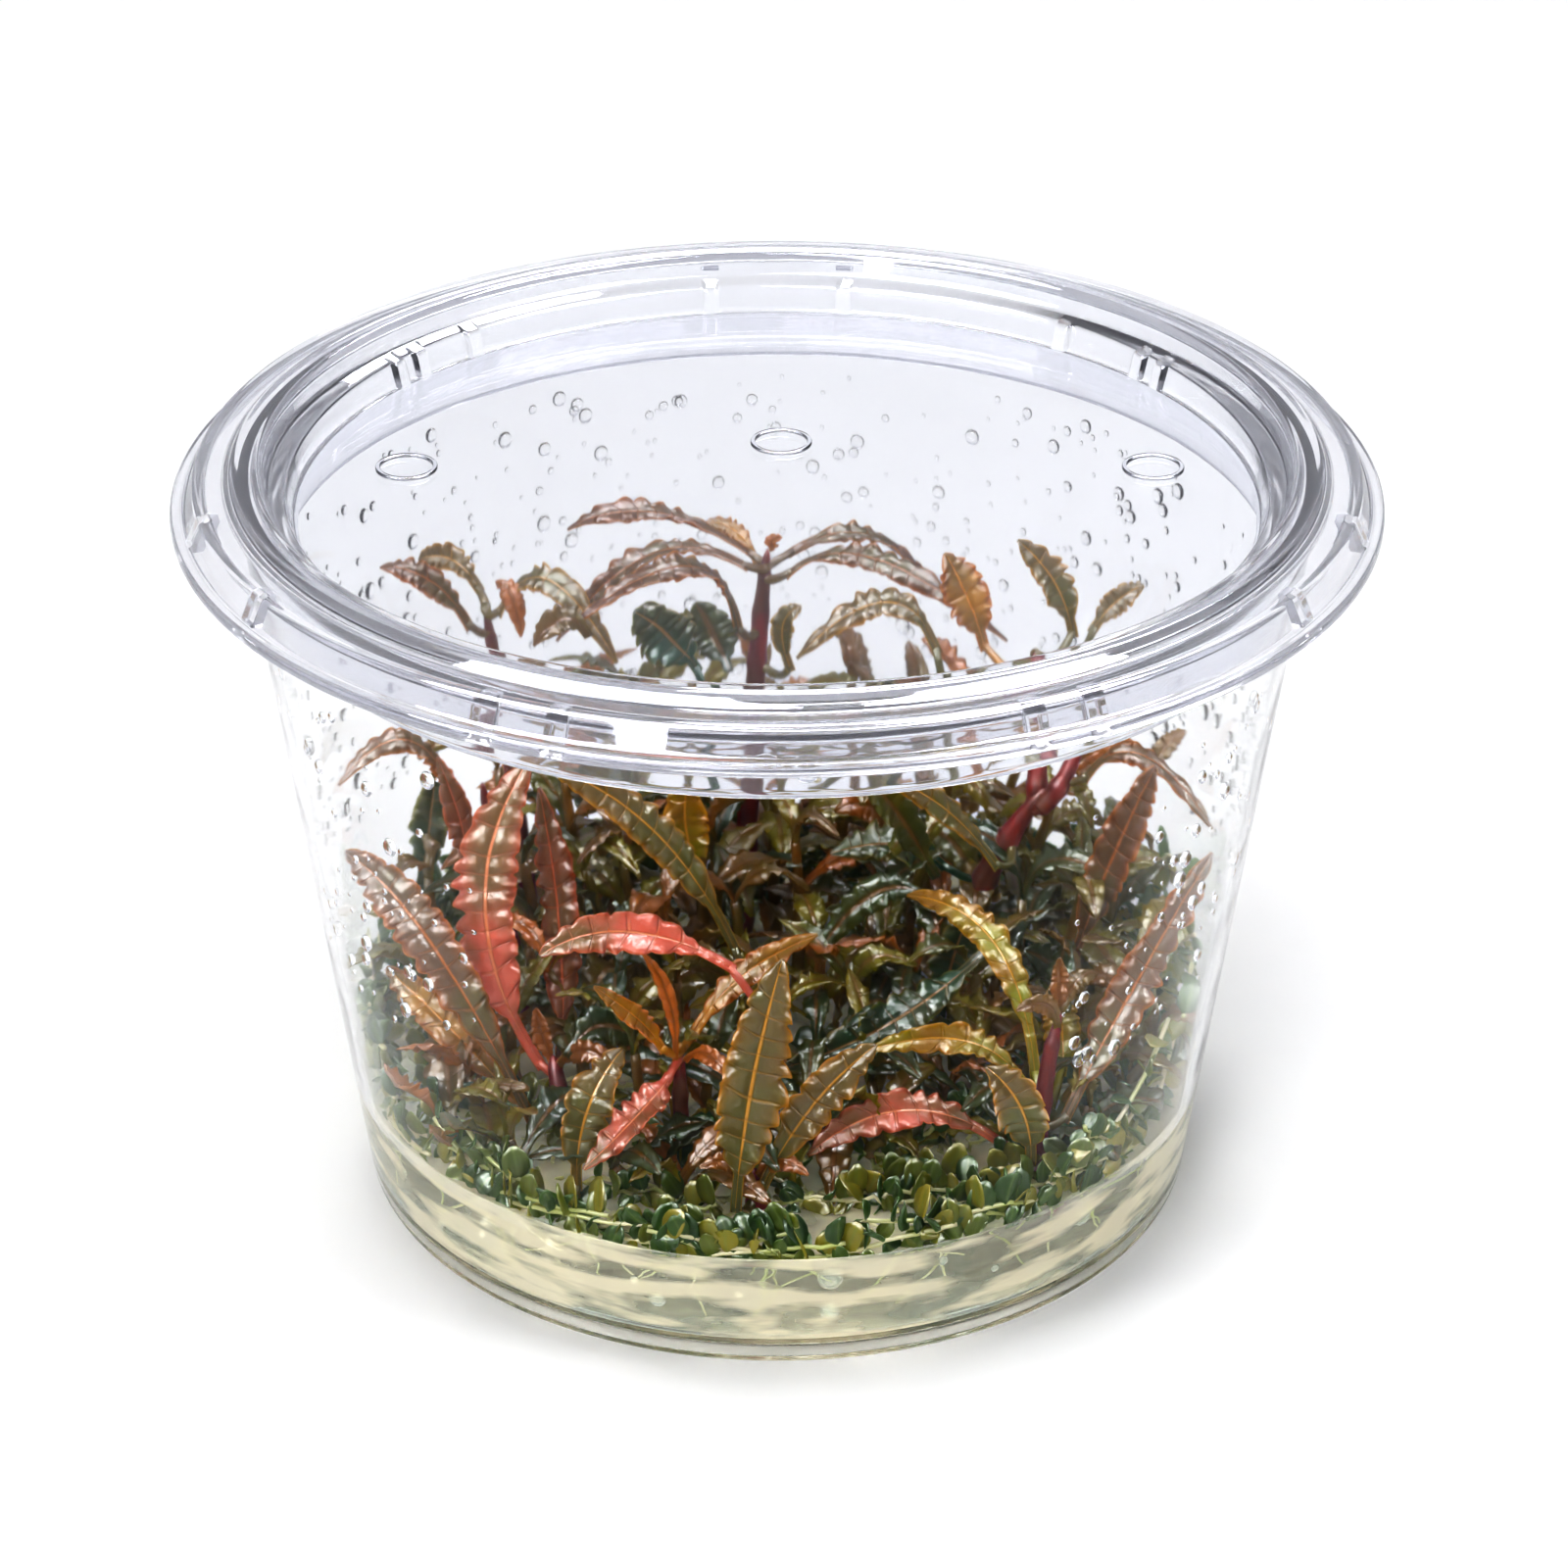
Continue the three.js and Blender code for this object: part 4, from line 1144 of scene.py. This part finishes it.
for _ in range(THREADS):
    angle = carpet_rng.uniform(-math.pi, math.pi)
    reach = carpet_rng.uniform(28, 41)
    share = np.linspace(0, 1, THREAD_STEPS)
    z = GEL_Z + 0.3 - share * carpet_rng.uniform(0.5, 8)
    run = reach + share * carpet_rng.uniform(0, 5) + wavering(carpet_rng, THREAD_STEPS, 0.18)
    run = np.minimum(run, cup_inside(z) - 0.7)
    sway = carpet_rng.uniform(-0.25, 0.25)
    turn = angle + share * sway + wavering(carpet_rng, THREAD_STEPS, 0.006)
    path = np.stack([run * np.sin(turn), -run * np.cos(turn), z], -1)
    radii = THREAD_RADIUS * (1 - 0.5 * share)
    thread_batch.add(tube(path, directions(path), radii, 5))

for _ in range(SURFACE_THREADS):
    angle = carpet_rng.uniform(-math.pi, math.pi) + wavering(carpet_rng, THREAD_STEPS, 0.03)
    reach = carpet_rng.uniform(16, 39) + wavering(carpet_rng, THREAD_STEPS, 0.9)
    z = np.full(THREAD_STEPS, GEL_Z + 0.3)
    path = np.stack([reach * np.sin(angle), -reach * np.cos(angle), z], -1)
    radii = np.full(THREAD_STEPS, THREAD_RADIUS)
    thread_batch.add(kept_inside(tube(path, directions(path), radii, 5)))


def carpet_skin():
    """Fresh green, lighter along the midrib, each leaf with a tone of its own."""
    shader = Shader("carpet")
    across, _ = shader.mapped("blade")
    along, tone = shader.mapped("place")
    across = across.size()
    patches = shader.noise(300, 2)
    base = shader.ramp(
        tone + (patches - 0.5) * 0.3,
        (0.0, (0.02, 0.06, 0.012)),
        (0.4, (0.05, 0.11, 0.01)),
        (0.7, (0.2, 0.2, 0.01)),
        (1.0, (0.42, 0.33, 0.03)),
    )
    base = shader.mixed((1 - across.above(0.1, 0.15)) * 0.5, base, (0.22, 0.3, 0.06))
    blade = shader.principled(
        Base_Color=base,
        Roughness=0.32,
        Coat_Weight=0.4,
        Coat_Roughness=0.12,
        Normal=shader.bump(patches + across * 0.5 + along * 0.2, 0.4, 0.2 * MM),
    )
    return shader.finish(shader.backlit(0.35, blade, (0.3, 0.5, 0.03)))


def thread_skin():
    """Cream to pale green, soft and half see-through."""
    shader = Shader("threads")
    patches = shader.noise(200, 2)
    flesh = shader.principled(
        Base_Color=shader.mixed(patches.above(0.5, 0.3), (0.5, 0.55, 0.18), (0.75, 0.7, 0.45)),
        Roughness=0.4,
    )
    return shader.finish(shader.backlit(0.35, flesh, (0.8, 0.8, 0.45)))


carpet_leaves = leaf_batch.piece("carpet_leaves", carpet_skin())
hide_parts("carpet")
threads = thread_batch.piece("runners_and_roots", thread_skin())

# Water drops.
# Condensed water on the inside of the cup's wall: flat round beads that wet the plastic, many
# at the sides and the back, few in front, where each is set by its angle, height and width.
# They are one clear mesh.
drop_rng = np.random.default_rng(5)
DROPS = 760
DRY_FRONT = 35
FRONT_DROPS = (
    (-4.2, 70.6, 1.9), (-1.2, 70.6, 2.2), (3, 70.2, 2.4), (-9, 70.4, 1.2), (8, 70.2, 1.1),
    (-2.8, 71.2, 0.8), (12, 70.8, 0.9), (-14, 70.6, 1.0),
)


def water_skin():
    """Clear water, with a faint unevenness."""
    shader = Shader("water")
    wet = shader.principled(
        Base_Color=(1.0, 1.0, 1.0),
        Roughness=0.0,
        IOR=1.33,
        Transmission_Weight=1.0,
        Normal=shader.bump(shader.noise(700, 1), 0.05, 0.1 * MM),
    )
    return shader.finish(shader.lit_through(wet, (0.98, 0.98, 0.98)))


def wall_drop(degrees, z, size, bands=6):
    """Rings of a ball flattened against the wall, its back a little inside the plastic. The
    wall's directions mirror the ball, so its faces look outwards."""
    angle = math.radians(degrees)
    outward = np.array((math.sin(angle), -math.cos(angle), 0))
    sideways = np.array((math.cos(angle), math.sin(angle), 0))
    rings = ball((0, 0, 0), 1, bands)
    shape = (
        sideways * rings[..., :1] * size * 0.5
        + outward * rings[..., 1:2] * size * 0.22
        + np.array((0, 0, 1)) * rings[..., 2:] * size * 0.55
    )
    return shape + outward * (cup_inside(z) - size * 0.12) + np.array((0, 0, z))


drop_batch = Batch()
for _ in range(DROPS):
    hand = drop_rng.choice((-1, 1))
    degrees = hand * (DRY_FRONT + (180 - DRY_FRONT) * drop_rng.uniform() ** 0.8)
    size = 0.45 + 1.3 * drop_rng.uniform() ** 3
    drop_batch.add(wall_drop(degrees, drop_rng.uniform(30, 64), size), capped=False)
for degrees, drop_z, size in FRONT_DROPS:
    drop_batch.add(wall_drop(degrees, drop_z, size, 12), capped=False)
drops = drop_batch.piece("water_drops", water_skin(), True)
